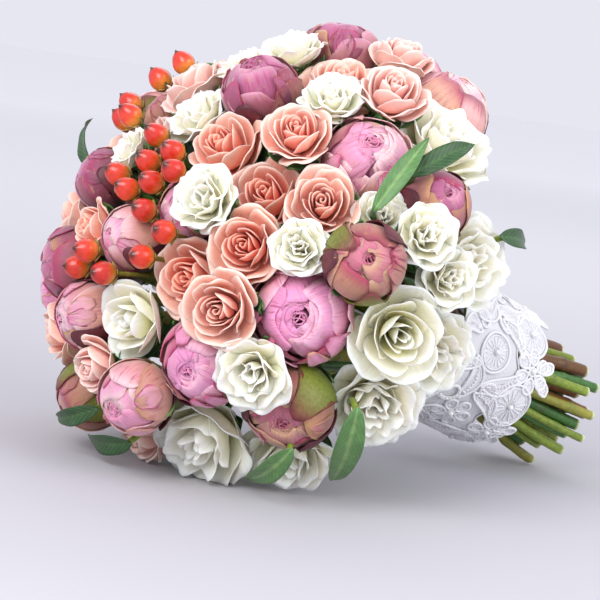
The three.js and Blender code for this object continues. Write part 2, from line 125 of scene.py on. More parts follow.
tape_points, _ = solid_of("binding_tape")
lace_points, lace_triangles = solid_of("lace_wrap")
TIE = tape_points.mean(axis=0)
up_the_lace = (lace_points - TIE) @ (TIE - lace_points.mean(axis=0))
lowest_third = lace_points[np.argsort(up_the_lace)[: len(lace_points) // 3]]
UP_HANDLE = unit(TIE - lowest_third.mean(axis=0))
FOCUS = TIE + UP_HANDLE * (TIE_DROP - FOCUS_DROP)
HEAD = TIE + UP_HANDLE * TIE_DROP
HANDLE_UP = unit(np.array([0, 0, 1.0]) - UP_HANDLE * UP_HANDLE[2])
HANDLE_SIDE = np.cross(UP_HANDLE, HANDLE_UP)


def drop_of(point):
    """How far down the handle a point lies, from the head's middle."""
    return (HEAD - point) @ UP_HANDLE


def middle_beside(point):
    """The point of the handle's middle line that is level with a point."""
    return HEAD - UP_HANDLE * drop_of(point)[..., None]


def pointed_tops(points, triangles, normals, areas, shape):
    """The pole, facing and half width of each flower or berry whose solid ends in a pole."""
    ring, ring_height, top, sides = shape
    for i, around in enumerate(neighbours_of(triangles, len(points))):
        if len(around) != sides:
            continue
        circle = points[list(around)]
        spread = np.linalg.norm(circle - points[i], axis=1)
        middle = circle.mean(axis=0)
        reach = np.linalg.norm(circle - middle, axis=1).mean()
        rise = np.linalg.norm(points[i] - middle)
        even = spread.std() / spread.mean() <= 0.02
        if even and abs(rise / reach - (top - ring_height) / ring) <= 0.05:
            touching = np.any(triangles == i, axis=1)
            yield points[i], unit((normals[touching] * areas[touching, None]).sum(axis=0)), reach / ring


def flat_tops(points, triangles, normals, areas, ring):
    """The same for a lisianthus, whose solid ends in one flat group of triangles with seven corners."""
    used = set()
    for seed in np.argsort(-areas).tolist():
        if seed in used:
            continue
        level = np.abs((points[triangles[:, 0]] - points[triangles[seed][0]]) @ normals[seed]) < 0.05
        flat = np.flatnonzero((normals @ normals[seed] > 0.9999) & level)
        used.update(flat.tolist())
        if not 5 <= len(flat) <= 7:
            continue
        rim = points[np.unique(triangles[flat])]
        reach = np.linalg.norm(rim - rim.mean(axis=0), axis=1)
        outer = rim[reach > 0.5 * reach.max()]
        if len(outer) != 7:
            continue
        middle = outer.mean(axis=0)
        reach = np.linalg.norm(outer - middle, axis=1)
        if reach.std() / reach.mean() < 0.03:
            yield middle, normals[seed], reach.mean() / ring


def blooms_of(kind, points, triangles):
    """The middle, facing and half width of each flower or berry of a plant. All of them face away from the
    focus, and no two are within 4 mm."""
    ring, _, top, _ = TOPS[kind]
    corners = points[triangles]
    normals = np.cross(corners[:, 1] - corners[:, 0], corners[:, 2] - corners[:, 0])
    areas = np.linalg.norm(normals, axis=1) / 2
    normals /= 2 * areas[:, None] + 1e-12
    tops = list(pointed_tops(points, triangles, normals, areas, TOPS[kind]))
    if kind == "lisianthus":
        tops += flat_tops(points, triangles, normals, areas, ring)
    found = []
    for pole, facing, radius in tops:
        centre = pole - facing * top * radius
        outward = facing @ unit(pole - FOCUS) >= 0.8
        if outward and all(np.linalg.norm(centre - other["centre"]) > 4 for other in found):
            found.append({"centre": centre, "facing": facing, "radius": radius})
    return found


def stem_of(points, triangles):
    """The points along a plant's main stem, from its cut end up to its flower or fork."""
    near = neighbours_of(triangles, len(points))
    lowest = int(np.argmin((points - TIE) @ UP_HANDLE))
    layer = set(np.argsort(np.linalg.norm(points - points[lowest], axis=1))[:STEM_SIDES].tolist())
    seen, route = set(), []
    while len(layer) == STEM_SIDES:
        route.append(points[list(layer)].mean(axis=0))
        seen |= layer
        layer = set().union(*(near[i] for i in layer)) - seen
    return route


def blades_of(points, triangles):
    """Each leaf's middle line, as three numbers of a curve in each axis, with its width and side direction.
    A leaf is found from its tip, which has six neighbours, by the three rings of six points below it."""
    near = neighbours_of(triangles, len(points))
    ring_shares = [1, 0.933, 0.75, 0.5]  # where the tip and the rings sit along a leaf
    blades = []
    for tip in range(len(points)):
        if len(near[tip]) != 6:
            continue
        layer, seen, rings = {tip}, {tip}, [[tip]]
        for _ in range(3):
            layer = set().union(*(near[j] for j in layer)) - seen
            if len(layer) != 6:
                break
            seen |= layer
            rings.append(list(layer))
        if len(rings) < 4:
            continue
        middles = np.array([points[ring].mean(axis=0) for ring in rings])
        wide, near_tip = points[rings[3]], points[rings[1]]
        gaps = np.linalg.norm(wide[:, None] - wide[None], axis=2)
        a, b = np.unravel_index(gaps.argmax(), gaps.shape)
        width = gaps[a, b]
        taper = np.linalg.norm(near_tip[:, None] - near_tip[None], axis=2).max() / width
        flatness = np.linalg.svd(wide - wide.mean(axis=0))[1][2]
        if 10 < width < 19 and 0.35 < taper < 0.65 and flatness < 0.6:
            curve = np.polyfit(ring_shares, middles, 2)
            blades.append({"curve": curve, "width": width, "side": unit(wide[a] - wide[b])})
    return blades


# ---- making pieces

def into_scene(name, data):
    """A new object of the scene that holds a mesh, light or camera."""
    made = bpy.data.objects.new(name, data)
    bpy.context.scene.collection.objects.link(made)
    return made


def inside_box(points):
    """Points in metres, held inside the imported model's box."""
    low, high = np.array(CAD_BOX[0]), np.array(CAD_BOX[1])
    return np.clip(points, low + BOX_MARGIN, high - BOX_MARGIN)


class Making:
    """Gathers the sheets and turned shapes of one piece."""

    def __init__(self):
        self.points, self.faces, self.flat, self.tint, self.finish = [], [], [], [], []
        self.count = 0

    def add(self, points, faces, flat, tint, finish=0):
        """One closed shape: its points and faces, and at each point its flat coordinates and its tint."""
        self.points.append(points)
        self.faces.extend([corner + self.count for corner in face] for face in faces)
        self.flat.append(flat)
        self.tint.append(np.broadcast_to(tint, points.shape))
        self.finish.extend([finish] * len(faces))
        self.count += len(points)

    def sheet(self, front, thickness, flat, tint, finish=0):
        """A thin closed sheet behind a grid of points. Its front is the side that columns x rows point to."""
        rows, cols, _ = front.shape
        across = np.gradient(front, axis=1)
        along = np.gradient(front, axis=0)
        normal = np.cross(across, along)
        normal /= np.linalg.norm(normal, axis=2, keepdims=True) + 1e-9
        depth = np.full((rows, cols, 1), 0.4 * thickness)  # thinner at its edge
        depth[1:-1, 1:-1] = thickness
        back = front - normal * depth
        grid = np.arange(rows * cols).reshape(rows, cols)
        quads = np.stack([grid[:-1, :-1], grid[:-1, 1:], grid[1:, 1:], grid[1:, :-1]], axis=-1)
        quads = quads.reshape(-1, 4)
        behind = quads[:, ::-1] + rows * cols
        rim = np.concatenate([grid[0, :-1], grid[:-1, -1], grid[-1, :0:-1], grid[:0:-1, 0]])
        ahead = np.roll(rim, -1)
        sides = np.stack([rim, rim + rows * cols, ahead + rows * cols, ahead], axis=-1)
        both = np.concatenate([front.reshape(-1, 3), back.reshape(-1, 3)])
        self.add(both, np.concatenate([quads, behind, sides]).tolist(), np.tile(flat.reshape(-1, 2), (2, 1)),
                 np.tile(tint.reshape(-1, 3), (2, 1)), finish)

    def turned(self, pose, outline, tint, finish=0, sides=14, lobes=0, lobe_depth=0.0):
        """A closed turned shape: outline is (radius, height) from the bottom pole to the top pole."""
        outline = np.asarray(outline, dtype=float)
        angle = np.linspace(0, 2 * np.pi, sides, endpoint=False)
        body = outline[1:-1]
        swell = 1 - lobe_depth * (0.5 + 0.5 * np.cos(lobes * angle)) ** 6
        radius = body[:, :1] * swell[None]
        height = np.repeat(body[:, 1:], sides, axis=1)
        ring = np.stack([radius * np.cos(angle), radius * np.sin(angle), height], axis=-1)
        rows = len(body)
        local = np.concatenate([ring.reshape(-1, 3), [[0, 0, outline[0, 1]], [0, 0, outline[-1, 1]]]])
        grid = np.arange(rows * sides).reshape(rows, sides)
        nxt = np.roll(grid, -1, axis=1)
        quads = np.stack([grid[:-1], nxt[:-1], nxt[1:], grid[1:]], axis=-1).reshape(-1, 4).tolist()
        bottom, top = rows * sides, rows * sides + 1
        faces = quads + [[bottom, int(nxt[0, k]), int(grid[0, k])] for k in range(sides)]
        faces += [[int(grid[-1, k]), int(nxt[-1, k]), top] for k in range(sides)]
        tint = np.asarray(tint, dtype=float)
        if tint.ndim == 2:
            tint = np.concatenate([np.repeat(tint[1:-1], sides, axis=0), tint[:1], tint[-1:]])
        points = (pose[:3, :3] @ local.T).T + pose[:3, 3]
        self.add(points, faces, local[:, :2] + local[:, 2:], tint, finish)

    def build(self, name, finishes):
        """The piece as one smooth mesh, with its flat coordinates, tint and finishes."""
        points = inside_box(np.concatenate(self.points) * MM)
        mesh = bpy.data.meshes.new(name)
        mesh.from_pydata(points.tolist(), [], self.faces)
        corner = np.empty(len(mesh.loops), dtype=np.int32)
        mesh.loops.foreach_get("vertex_index", corner)
        flat = mesh.uv_layers.new(name="surface")
        flat.data.foreach_set("uv", np.concatenate(self.flat)[corner].ravel())
        colour = np.concatenate([np.concatenate(self.tint), np.ones((len(points), 1))], axis=1)
        tint = mesh.color_attributes.new(name="tint", type="FLOAT_COLOR", domain="POINT")
        tint.data.foreach_set("color", colour.ravel())
        mesh.polygons.foreach_set("material_index", self.finish)
        mesh.polygons.foreach_set("use_smooth", [True] * len(mesh.polygons))
        for finish in finishes:
            mesh.materials.append(finish)
        mesh.update()
        return into_scene(name, mesh)


def pose_of(centre, facing):
    """A flower's own frame: its face is +Z and its uppermost side is +X."""
    facing = unit(facing)
    up = np.array([0, 0, 1.0]) if abs(facing[2]) < 0.95 else np.array([-1.0, 0, 0])
    x = unit(up - facing * (up @ facing))
    pose = np.eye(4)
    pose[:3, 0], pose[:3, 1], pose[:3, 2], pose[:3, 3] = x, np.cross(facing, x), facing, centre
    return pose


def wave(rng, u, v, count=4, fine=5.0):
    """Smooth random unevenness over a sheet, about -1 to 1."""
    total = np.zeros(np.broadcast(u, v).shape)
    for _ in range(count):
        a, b = rng.uniform(-fine, fine, 2)
        total += np.sin(a * u + b * v + rng.uniform(0, 2 * np.pi))
    return total / count


def arc_line(radius, height, start, end):
    """A middle line that hugs a ball: start and end are degrees from the flower's top."""

    def line(v):
        angle = np.radians(start + (end - start) * v)
        return radius * np.sin(angle), height * np.cos(angle)
    return line


def bent_line(base, belly, tip):
    """A middle line bent from the flower's base past a belly to its tip, each as (radius, height)."""

    def line(v):
        shares = (1 - v) ** 2, 2 * v * (1 - v), v ** 2
        return tuple(sum(share * end[axis] for share, end in zip(shares, (base, belly, tip)))
                     for axis in (0, 1))
    return line


# Along a petal, as shares of its length: where it is full width, curls over and starts its coloured rim.
FULL_WIDTH = 0.62
CURL_FROM = 0.62
RIM_FROM = 0.82


def petal(making, rng, pose, turn, line, width, length, shades, *, cup=1.0, least=2.0, curl=0.0, ruffle=0.0,
          waves=2.5, round_tip=0.2, narrow=0.3, foot=0.3, crumple=0.0, tear=0.0, lean=0.0, fold=0.0,
          size=(11, 11), thick=0.45, finish=0):
    """One petal or sepal, with the shades of its foot, middle, tip and edge. Its middle line rises from the
    flower's base; across, it wraps round the flower's axis."""
    rows, cols = size
    v, u = np.meshgrid(np.linspace(0, 1, rows), np.linspace(-1, 1, cols), indexing="ij")
    # its rounded tip is torn finely and broadly, and it widens from its foot and narrows again
    ragged = wave(rng, u, 0 * v, 5, 11) * tear + wave(rng, u, 0 * v, 3, 4) * tear
    reach = v * (1 - round_tip * np.abs(u) ** 2.4 + ragged * v ** 3)
    r, z = line(reach)
    grow = np.sin(np.pi / 2 * np.minimum(1, v / FULL_WIDTH))
    half = width * (foot + (1 - foot) * grow) * (1 - narrow * np.clip((v - 0.6) / 0.4, 0, 1) ** 2)
    # across, it lies on an arc, whose radius is at least `least`
    bend = np.maximum(r * cup, least)
    angle = np.clip(u * half / bend, -MOST_WRAP, MOST_WRAP)
    x = r - bend * (1 - np.cos(angle))
    y = bend * np.sin(angle)
    # its tip and sides curl outwards, and it is ruffled, crumpled, folded and leans
    late = np.clip((reach - CURL_FROM) / (1 - CURL_FROM), 0, 1)
    side = np.abs(u) ** 3 * v
    first_wave = rng.uniform(0, FULL_TURN)
    push = curl * (late ** 2 + 0.5 * side)
    push = push + ruffle * v ** 2 * np.sin(waves * np.pi * u + first_wave) * (0.4 + 0.6 * np.abs(u))
    push += crumple * wave(rng, 3 * u, 3 * v, 5, 3.2) * np.minimum(1, 2 * v) - fold * (1 - np.abs(u)) * v
    x = x + push * np.cos(angle)
    y = y + push * np.sin(angle) + lean * v ** 2
    second_wave = rng.uniform(0, FULL_TURN)
    z = z - 0.55 * curl * late ** 3 + 0.5 * ruffle * v ** 2 * np.sin((waves + 0.8) * np.pi * u + second_wave)
    c, s = math.cos(turn), math.sin(turn)
    local = np.stack([x * c - y * s, x * s + y * c, z], axis=-1)
    world = local @ pose[:3, :3].T + pose[:3, 3]
    # its shade runs from foot to tip, then to a rim, and varies by a tenth from place to place
    base, middle, tip, edge = (linear(colour) for colour in shades)
    shade = base + (middle - base) * np.clip(reach / 0.5, 0, 1)[..., None]
    shade = shade + (tip - shade) * (np.clip((reach - 0.45) / 0.5, 0, 1) ** 1.5)[..., None]
    rim = np.clip((np.maximum(np.abs(u), v) - RIM_FROM) / (1 - RIM_FROM), 0, 1) * np.clip(v * 3 - 0.6, 0, 1)
    shade = shade + (edge - shade) * rim[..., None]
    shade = shade * (1 + 0.10 * wave(rng, u, v, 3, 4)[..., None])
    far = 900  # each petal lies at another place of its finish's pattern
    flat = np.stack([u * width + rng.uniform(0, far), v * length + rng.uniform(0, far)], axis=-1)
    making.sheet(world, thick, flat, shade, finish)


# ---- flowers

# Peony buds: the outer skin at the foot and above, the petals near the mouth, their edge, and the heart and
# its tips.
BUDS = {
    "bright": ("#b97c60", "#d48a8c", "#de8bae", "#efb2c8", "#a83468", "#e593be"),
    "pink": ("#b4826a", "#cf9088", "#dd98ac", "#eac2c4", "#a43a66", "#df93b2"),
    "blush": ("#c8987a", "#dfa79b", "#ecb0b8", "#f3d2c8", "#b6486c", "#eaabba"),
    "plum": ("#52302a", "#743645", "#964a69", "#c98aa0", "#762048", "#b05f84"),
    "bronze": ("#675431", "#8e5a4a", "#b07466", "#c69b7c", "#8a2a48", "#bd6a7e"),
}
STAIN = ["#9c2450", "#a82a5a", "#84283f", "#b98a5e"]
GREEN_SEPAL = ("#59662a", "#73842f", "#7a3038")
DARK_SEPAL = ("#555324", "#6d3038", "#54202d")
# Each bud: its dress, how far it is open, how many green and dark sepals it has, where round it the first
# one sits, and how far from its top that one ends, both in degrees.
PEONY_LOOKS = {
    "peony_01": ("plum", 0.45, 0, 1, 120, 70), "peony_02": ("plum", 0.8, 0, 1, 200, 70),
    "peony_03": ("blush", 0.2, 0, 1, 250, 60), "peony_04": ("pink", 0.75, 0, 1, 150, 74),
    "peony_05": ("plum", 0.15, 1, 2, 190, 40), "peony_06": ("bronze", 0.2, 2, 2, 60, 24),
    "peony_07": ("bright", 0.85, 1, 2, 60, 66), "peony_08": ("bright", 0.45, 1, 2, 250, 50),
    "peony_09": ("bronze", 0.3, 1, 2, 320, 18), "peony_10": ("pink", 0.6, 0, 2, 90, 66),
    "peony_11": ("bronze", 0.1, 3, 1, 0, 30), "peony_12": ("pink", 0.2, 0, 2, 240, 35),
    "peony_13": ("pink", 0.2, 0, 2, 240, 45), "peony_14": ("pink", 0.3, 1, 1, 90, 55),
    "peony_15": ("plum", 0.2, 1, 2, 20, 50), "peony_16": ("bronze", 0.2, 1, 2, 180, 45),
}
HIDDEN_LOOKS = [("pink", 0.6, 1, 1, 40, 60), ("bright", 0.9, 0, 1, 200, 70), ("plum", 0.3, 1, 1, 90, 50),
                ("blush", 0.4, 1, 0, 300, 55)]


def make_peony(making, rng, bloom, look):
    """A bud whose petals close over each other from a torn mouth down to the sepals that clasp it."""
    dress, open_up, greens, darks, first, reach = look
    foot, skin, tip, edge, heart, heart_tip = BUDS[dress]
    R = bloom["radius"] * 1.06
    pose = pose_of(bloom["centre"], bloom["facing"])
    mouth = 5 + 19 * open_up
    slit = rng.uniform(0, 3.14)
    # a crumpled core deep in the mouth
    core = 10
    shades = heart, mixed(heart, heart_tip, 0.25), mixed(heart, heart_tip, 0.6), heart_tip
    for i in range(core):
        t = (i + 0.5) / core
        out = R * (0.05 + 0.36 * t)
        end = out * (0.1 + 0.7 * t), R * (0.86 - 0.05 * t + 0.02 * rng.uniform(-1, 1))
        line = bent_line((0.3 * out, 0.0), (out * 1.3, 0.5 * R), end)
        petal(making, rng, pose, i * 2.4, line, R * rng.uniform(0.28, 0.42), R, shades, cup=1.2, least=3.0,
              ruffle=0.06 * R, waves=1.4, round_tip=0.1, crumple=0.05 * R, tear=0.03, curl=0.03 * R,
              thick=0.6)
    # a closed round of crumpled petals under the broad ones, so that no gap shows between them
    shades = heart, mixed(heart, heart_tip, 0.5), mixed(heart, heart_tip, 0.75), heart_tip
    for i in range(9):
        line = arc_line(R * 0.74, R * 0.80, 130, mouth * 0.9 + rng.uniform(-2, 8))
        petal(making, rng, pose, slit + i * 0.70, line, R * rng.uniform(0.44, 0.56), 1.8 * R, shades,
              least=0.14 * R, round_tip=0.12, narrow=0.1, foot=0.8, crumple=0.05 * R, tear=0.03,
              curl=0.02 * R, ruffle=0.03 * R, waves=1.5, size=(13, 11), thick=0.6)
    # broad inner petals close over it from both sides and leave a slit
    for i in range(8):
        turn = slit + math.pi * (i % 2) + rng.uniform(-0.3, 0.3) * (1 + i / 4)
        shell = R * (0.78 + 0.012 * i)
        line = arc_line(shell, shell * 1.06, 118, mouth * (0.42 + 0.10 * i) + rng.uniform(0, 3))
        shades = heart, mixed(tip, heart_tip, 0.6), heart_tip, edge if i % 2 else heart_tip
        petal(making, rng, pose, turn, line, R * rng.uniform(0.70, 0.86), 1.8 * R, shades, least=0.14 * R,
              round_tip=0.16, narrow=0.16, foot=0.5, crumple=0.035 * R, tear=0.03, curl=0.03 * R,
              ruffle=0.03 * R, waves=1.2, size=(15, 15), thick=0.6)
    # broad petals hug the ball, the later ones outside and shorter, some of them faded to tan
    layers = 9
    for i in range(layers):
        t = i / (layers - 1)
        shell = R * (0.86 + 0.14 * t)
        end = mouth + 3 + 11 * open_up + (9 + 28 * open_up) * t ** 1.3 + rng.uniform(-4, 8)
        line = arc_line(shell, shell * 0.95, 168, end)
        stained = rng.uniform() < 0.45 + 0.25 * (dress in ("plum", "bronze"))
        rim = STAIN[rng.integers(len(STAIN))] if stained else edge
        faded = rng.uniform(0, 0.6) * t
        shades = foot, mixed(skin if t > 0.3 else tip, "#c99a72", faded), mixed(tip, "#cfa07c", faded), rim
        turn = i * 2.5 + rng.uniform(-0.25, 0.25)
        petal(making, rng, pose, turn, line, shell * rng.uniform(0.80, 1.08), 2.4 * R, shades,
              least=0.12 * R, narrow=0.34, foot=0.35, crumple=0.020 * R, tear=0.030,
              curl=0.03 * R * (1 + open_up), ruffle=0.014 * R, waves=2, size=(19, 17), thick=0.5)
    # small torn petals and folds by the mouth
    for i in range(4):
        end = mouth + 12 + rng.uniform(0, 14)
        line = arc_line(R, R * 0.95, end + 55, end)
        turn = rng.uniform(0, FULL_TURN)
        shades = skin, tip, heart_tip, STAIN[i]
        petal(making, rng, pose, turn, line, R * rng.uniform(0.16, 0.34), R, shades, least=1.5,
              round_tip=0.4, crumple=0.03 * R, tear=0.04, curl=0.06 * R, ruffle=0.03 * R,
              size=(9, 9), thick=0.4)
    # sepals clasp the bud like shells, and the first reaches furthest
    for k in range(greens + darks):
        low, high, rim = GREEN_SEPAL if k < greens else DARK_SEPAL
        line = arc_line(R * 1.05, R * 0.985, 172, reach + (0 if k == 0 else rng.uniform(8, 30)))
        turn = math.radians(first) + k * 2.3
        petal(making, rng, pose, turn, line, R * rng.uniform(0.62, 0.80), 1.6 * R,
              (low, high, mixed(high, rim, 0.35), rim), least=0.1 * R, round_tip=0.36, narrow=0.42,
              crumple=0.016 * R, curl=0.03 * R, tear=0.016, size=(15, 13), thick=0.6, finish=1)
    # a round of short green ones at its foot
    for k in range(5):
        line = arc_line(R * 1.03, R * 0.97, 176, 128 + rng.uniform(-10, 8))
        petal(making, rng, pose, k * 1.26, line, 0.40 * R, R, ("#66782f", "#7c8f38", "#86903f", "#70403a"),
              least=0.06 * R, round_tip=0.45, narrow=0.5, size=(7, 7), thick=0.7, finish=1)


# Each collar: how many leaves, how high they reach as a share of the flower's half width, and their width.
COLLARS = {"peony": (6, 0.05, 7.5), "spray_rose": (6, 0.05, 7.5), "lisianthus": (5, -0.15, 6.5)}
# A collar's leaves at their darkest and lightest: foot, middle, tip and edge.
COLLAR_GREENS = [("#2c4a26", "#4f7a3c"), ("#31552b", "#5d8a47"), ("#2f5229", "#6a9450"),
                 ("#3b6a33", "#84a45e")]


def make_collar(making, rng, bloom, count, reach, width):
    """Narrow dark leaves that fill the gap under a flower and between its neighbours."""
    R = bloom["radius"]
    pose = pose_of(bloom["centre"], bloom["facing"])
    for k in range(count):
        tip = (R * rng.uniform(0.98, 1.12), R * rng.uniform(-0.5, reach))
        line = bent_line((0.25 * R, -1.1 * R), (1.15 * R, -0.75 * R), tip)
        lightness = rng.uniform(0, 1)
        shades = [mixed(dark, light, lightness) for dark, light in COLLAR_GREENS]
        turn = rng.uniform(0, FULL_TURN)
        petal(making, rng, pose, turn, line, width * rng.uniform(0.8, 1.2), 2.2 * R, shades, cup=2.0,
              round_tip=0.92, narrow=0.95, curl=0.08 * R, fold=0.03 * R, size=(15, 9), thick=0.5, finish=1)


# Roses: foot of the inner petals, their middle, tip and edge, then the same for the outer petals.
# the deep red at the foot of the inner petals is partly the rose's own coral heart and partly painted shade
# deep in the flower
ROSES = [
    ("#d8301f", "#ec5541", "#f5836c", "#f9b49e", "#ef8b74", "#f6ad97", "#f8bfab", "#fad7c8"),
    ("#dc3b2b", "#ed614e", "#f68f7a", "#f9bba8", "#f0947f", "#f7b29f", "#f9c4b2", "#fbdbce"),
    ("#e25444", "#f0806e", "#f6a693", "#f9c6b6", "#f19f8b", "#f6b8a6", "#f8c7b6", "#fadbcd"),
]
PALE_ROSE = ("#e0685c", "#ee8f84", "#f4b0a5", "#f8ccc2", "#efaa9c", "#f4beb2", "#f6cbc0", "#f9ddd3")
ROSE_SEPAL = ("#64853a", "#7da049", "#6b8f3f", "#8ea85a")
ROSE_LOOKS = {"spray_rose_06": PALE_ROSE, "spray_rose_07": PALE_ROSE, "spray_rose_09": PALE_ROSE}


def make_rose(making, rng, bloom, colours):
    """A tight coral spiral sunk between taller petals, inside broad pale ones that roll back at the edge."""
    R = bloom["radius"]
    pose = pose_of(bloom["centre"], bloom["facing"])
    inner, outer = colours[:4], colours[4:]
    start = rng.uniform(0, FULL_TURN)
    # each petal: how far out and how high its tip is, its width, its curl, and its stage from the heart out
    rounds = [(0.05 + 0.38 * (i / 10) ** 0.85, 0.50 + 0.10 * (i / 10), 0.16 + 0.26 * i / 10, 0.015, i / 10)
              for i in range(11)]
    rounds += [(0.50 + 0.24 * i / 5, 0.60 - 0.09 * i / 5, 0.50 + 0.14 * i / 5, 0.06 + 0.05 * i / 5, 1 + i / 5)
               for i in range(6)]
    rounds += [(0.84 + 0.20 * i / 5, 0.40 - 0.24 * i / 5, 0.72 + 0.12 * i / 5, 0.17 + 0.08 * i / 5, 2 + i / 5)
               for i in range(6)]
    for i, (out, top, wide, curl, stage) in enumerate(rounds):
        out, top = R * out, R * (top + rng.uniform(-0.02, 0.02))
        belly = (out * 1.14 + 0.06 * R, -0.30 * R)
        line = bent_line(((0.04 + 0.05 * stage) * R, -0.72 * R), belly, (out, top))
        paleness = min(1.0, max(0.0, stage - 0.55))
        shades = [mixed(a, b, paleness) for a, b in zip(inner, outer)]
        petal(making, rng, pose, start + i * 2.3, line, R * wide, 1.6 * R, shades, cup=1.02 + 0.12 * stage,
              least=0.06 * R, curl=R * curl, round_tip=0.10 + 0.06 * stage, narrow=0.16 + 0.05 * stage,
              ruffle=0.018 * R * stage, waves=1.3, crumple=0.010 * R * (1 + stage), tear=0.008, lean=0.02 * R,
              size=(15, 15), thick=0.5)
    line = bent_line((0.12 * R, -0.86 * R), (0.8 * R, -0.85 * R), (1.05 * R, -0.22 * R))
    for k in range(5):
        petal(making, rng, pose, k * FIFTH + 0.3, line, 0.17 * R, R, ROSE_SEPAL, cup=1.6,
              round_tip=0.7, narrow=0.9, curl=0.1 * R, size=(9, 7), thick=0.5, finish=1)
    making.turned(pose, [(0, -1.05 * R), (0.10 * R, -1.02 * R), (0.2 * R, -0.9 * R), (0.24 * R, -0.78 * R),
                         (0.18 * R, -0.66 * R), (0, -0.6 * R)], linear("#6f9440"), finish=1)


# Lisianthus: foot, middle, tip and edge of a petal, and of one in a green heart.
# the yellow towards a petal's foot, strongest in the green heart, is partly the flower's own yellow-green base
# and partly painted shade in its folds
WHITES = ("#eee7a6", "#fbf6d6", "#fffbec", "#fffdf6")
HEART_WHITES = ("#cfc548", "#eeeaa8", "#fbf9ec", "#fefdf8")


def make_lisianthus(making, rng, bloom, rosy):
    """Broad thin petals with wavy edges; a rosy one is cupped in even rounds about a green heart."""
    R = bloom["radius"]
    pose = pose_of(bloom["centre"], bloom["facing"])
    start = rng.uniform(0, FULL_TURN)
    # each petal: how far out and how high its tip is, its width, its curl and how wavy it is
    if rosy:
        rounds = [(0.06 + 0.46 * i / 9, 0.46 + 0.08 * i / 9, 0.20 + 0.30 * i / 9, 0.02, 0.010)
                  for i in range(10)]
        rounds += [(0.58 + 0.46 * i / 8, 0.52 - 0.30 * i / 8, 0.52 + 0.26 * i / 8, 0.05 + 0.10 * i / 8, 0.022)
                   for i in range(9)]
    else:
        rounds = [(0.10 + 0.26 * i / 4, 0.50 + 0.06 * rng.uniform(-1, 1), 0.40, 0.05, 0.10) for i in range(5)]
        rounds += [(0.46 + 0.18 * i / 4, 0.56 - 0.06 * i / 4, 0.66, 0.12, 0.11) for i in range(5)]
        rounds += [(0.78 + 0.30 * i / 6, 0.42 - 0.30 * i / 6, 0.92 + 0.1 * i / 6, 0.20, 0.10)
                   for i in range(7)]
    for i, (out, top, wide, curl, wavy) in enumerate(rounds):
        out, top = R * out, R * (top + rng.uniform(-0.03, 0.03))
        line = bent_line((0.06 * R, -0.7 * R), (out + 0.04 * R, -0.30 * R), (out, top))
        shades = HEART_WHITES if rosy and i < 10 else WHITES
        petal(making, rng, pose, start + i * 2.4, line, R * wide, 1.6 * R, shades, cup=1.1 + 0.5 * (out / R),
              least=0.1 * R, curl=R * curl, round_tip=0.24, narrow=0.26,
              ruffle=wavy * R, waves=rng.uniform(1.2, 2.2), crumple=0.3 * wavy * R,
              tear=0.006 if rosy else 0.02, size=(14, 19), thick=0.35)
    line = bent_line((0.1 * R, -0.8 * R), (0.5 * R, -0.8 * R), (0.7 * R, -0.35 * R))
    for k in range(5):
        petal(making, rng, pose, k * FIFTH, line, 0.10 * R, R, ("#7d9a4a", "#8fae5c", "#86a552", "#9db96c"),
              cup=1.6, round_tip=0.7, narrow=0.9, curl=0.1 * R, size=(7, 5), thick=0.4, finish=1)


def make_berry(making, rng, bloom):
    """An egg-shaped berry with three soft furrows, orange at its foot and dark at its tip, in a cup of five
    sepals."""
    L = bloom["radius"]
    pose = pose_of(bloom["centre"], bloom["facing"])
    share = np.linspace(0, 1, 13)
    height = -0.92 * L + 1.86 * L * share
    radius = 0.76 * L * np.sin(np.pi * share ** 0.82) ** 0.72
    radius[-2] = 0.14 * L
    radius[0] = radius[-1] = 0
    ripe = rng.uniform(0, 1)
    low, high = linear("#e8a03c"), linear("#b8241c")
    body = linear("#dd3d22") * (1 - ripe) + linear("#c4271d") * ripe
    tint = [low + (body - low) * min(1, max(0, (s - 0.12) * 2.4)) for s in share]
    tint = [c + (high - c) * max(0, (s - 0.6) / 0.4) for c, s in zip(tint, share)]
    tint[-1] = tint[-2] = linear("#4a1d12")
    outline = np.stack([radius, height], axis=1)
    making.turned(pose, outline, np.array(tint), sides=18, lobes=3, lobe_depth=0.10)
    for k in range(5):
        line = arc_line(0.80 * L, 0.98 * L, 172, rng.uniform(112, 124))
        petal(making, rng, pose, k * FIFTH, line, 0.36 * L, L, ("#7f9a45", "#96ab55", "#8b9c4a", "#a56a45"),
              least=0.1 * L, round_tip=0.6, narrow=0.7, curl=0.14 * L, size=(7, 5), thick=0.4, finish=1)


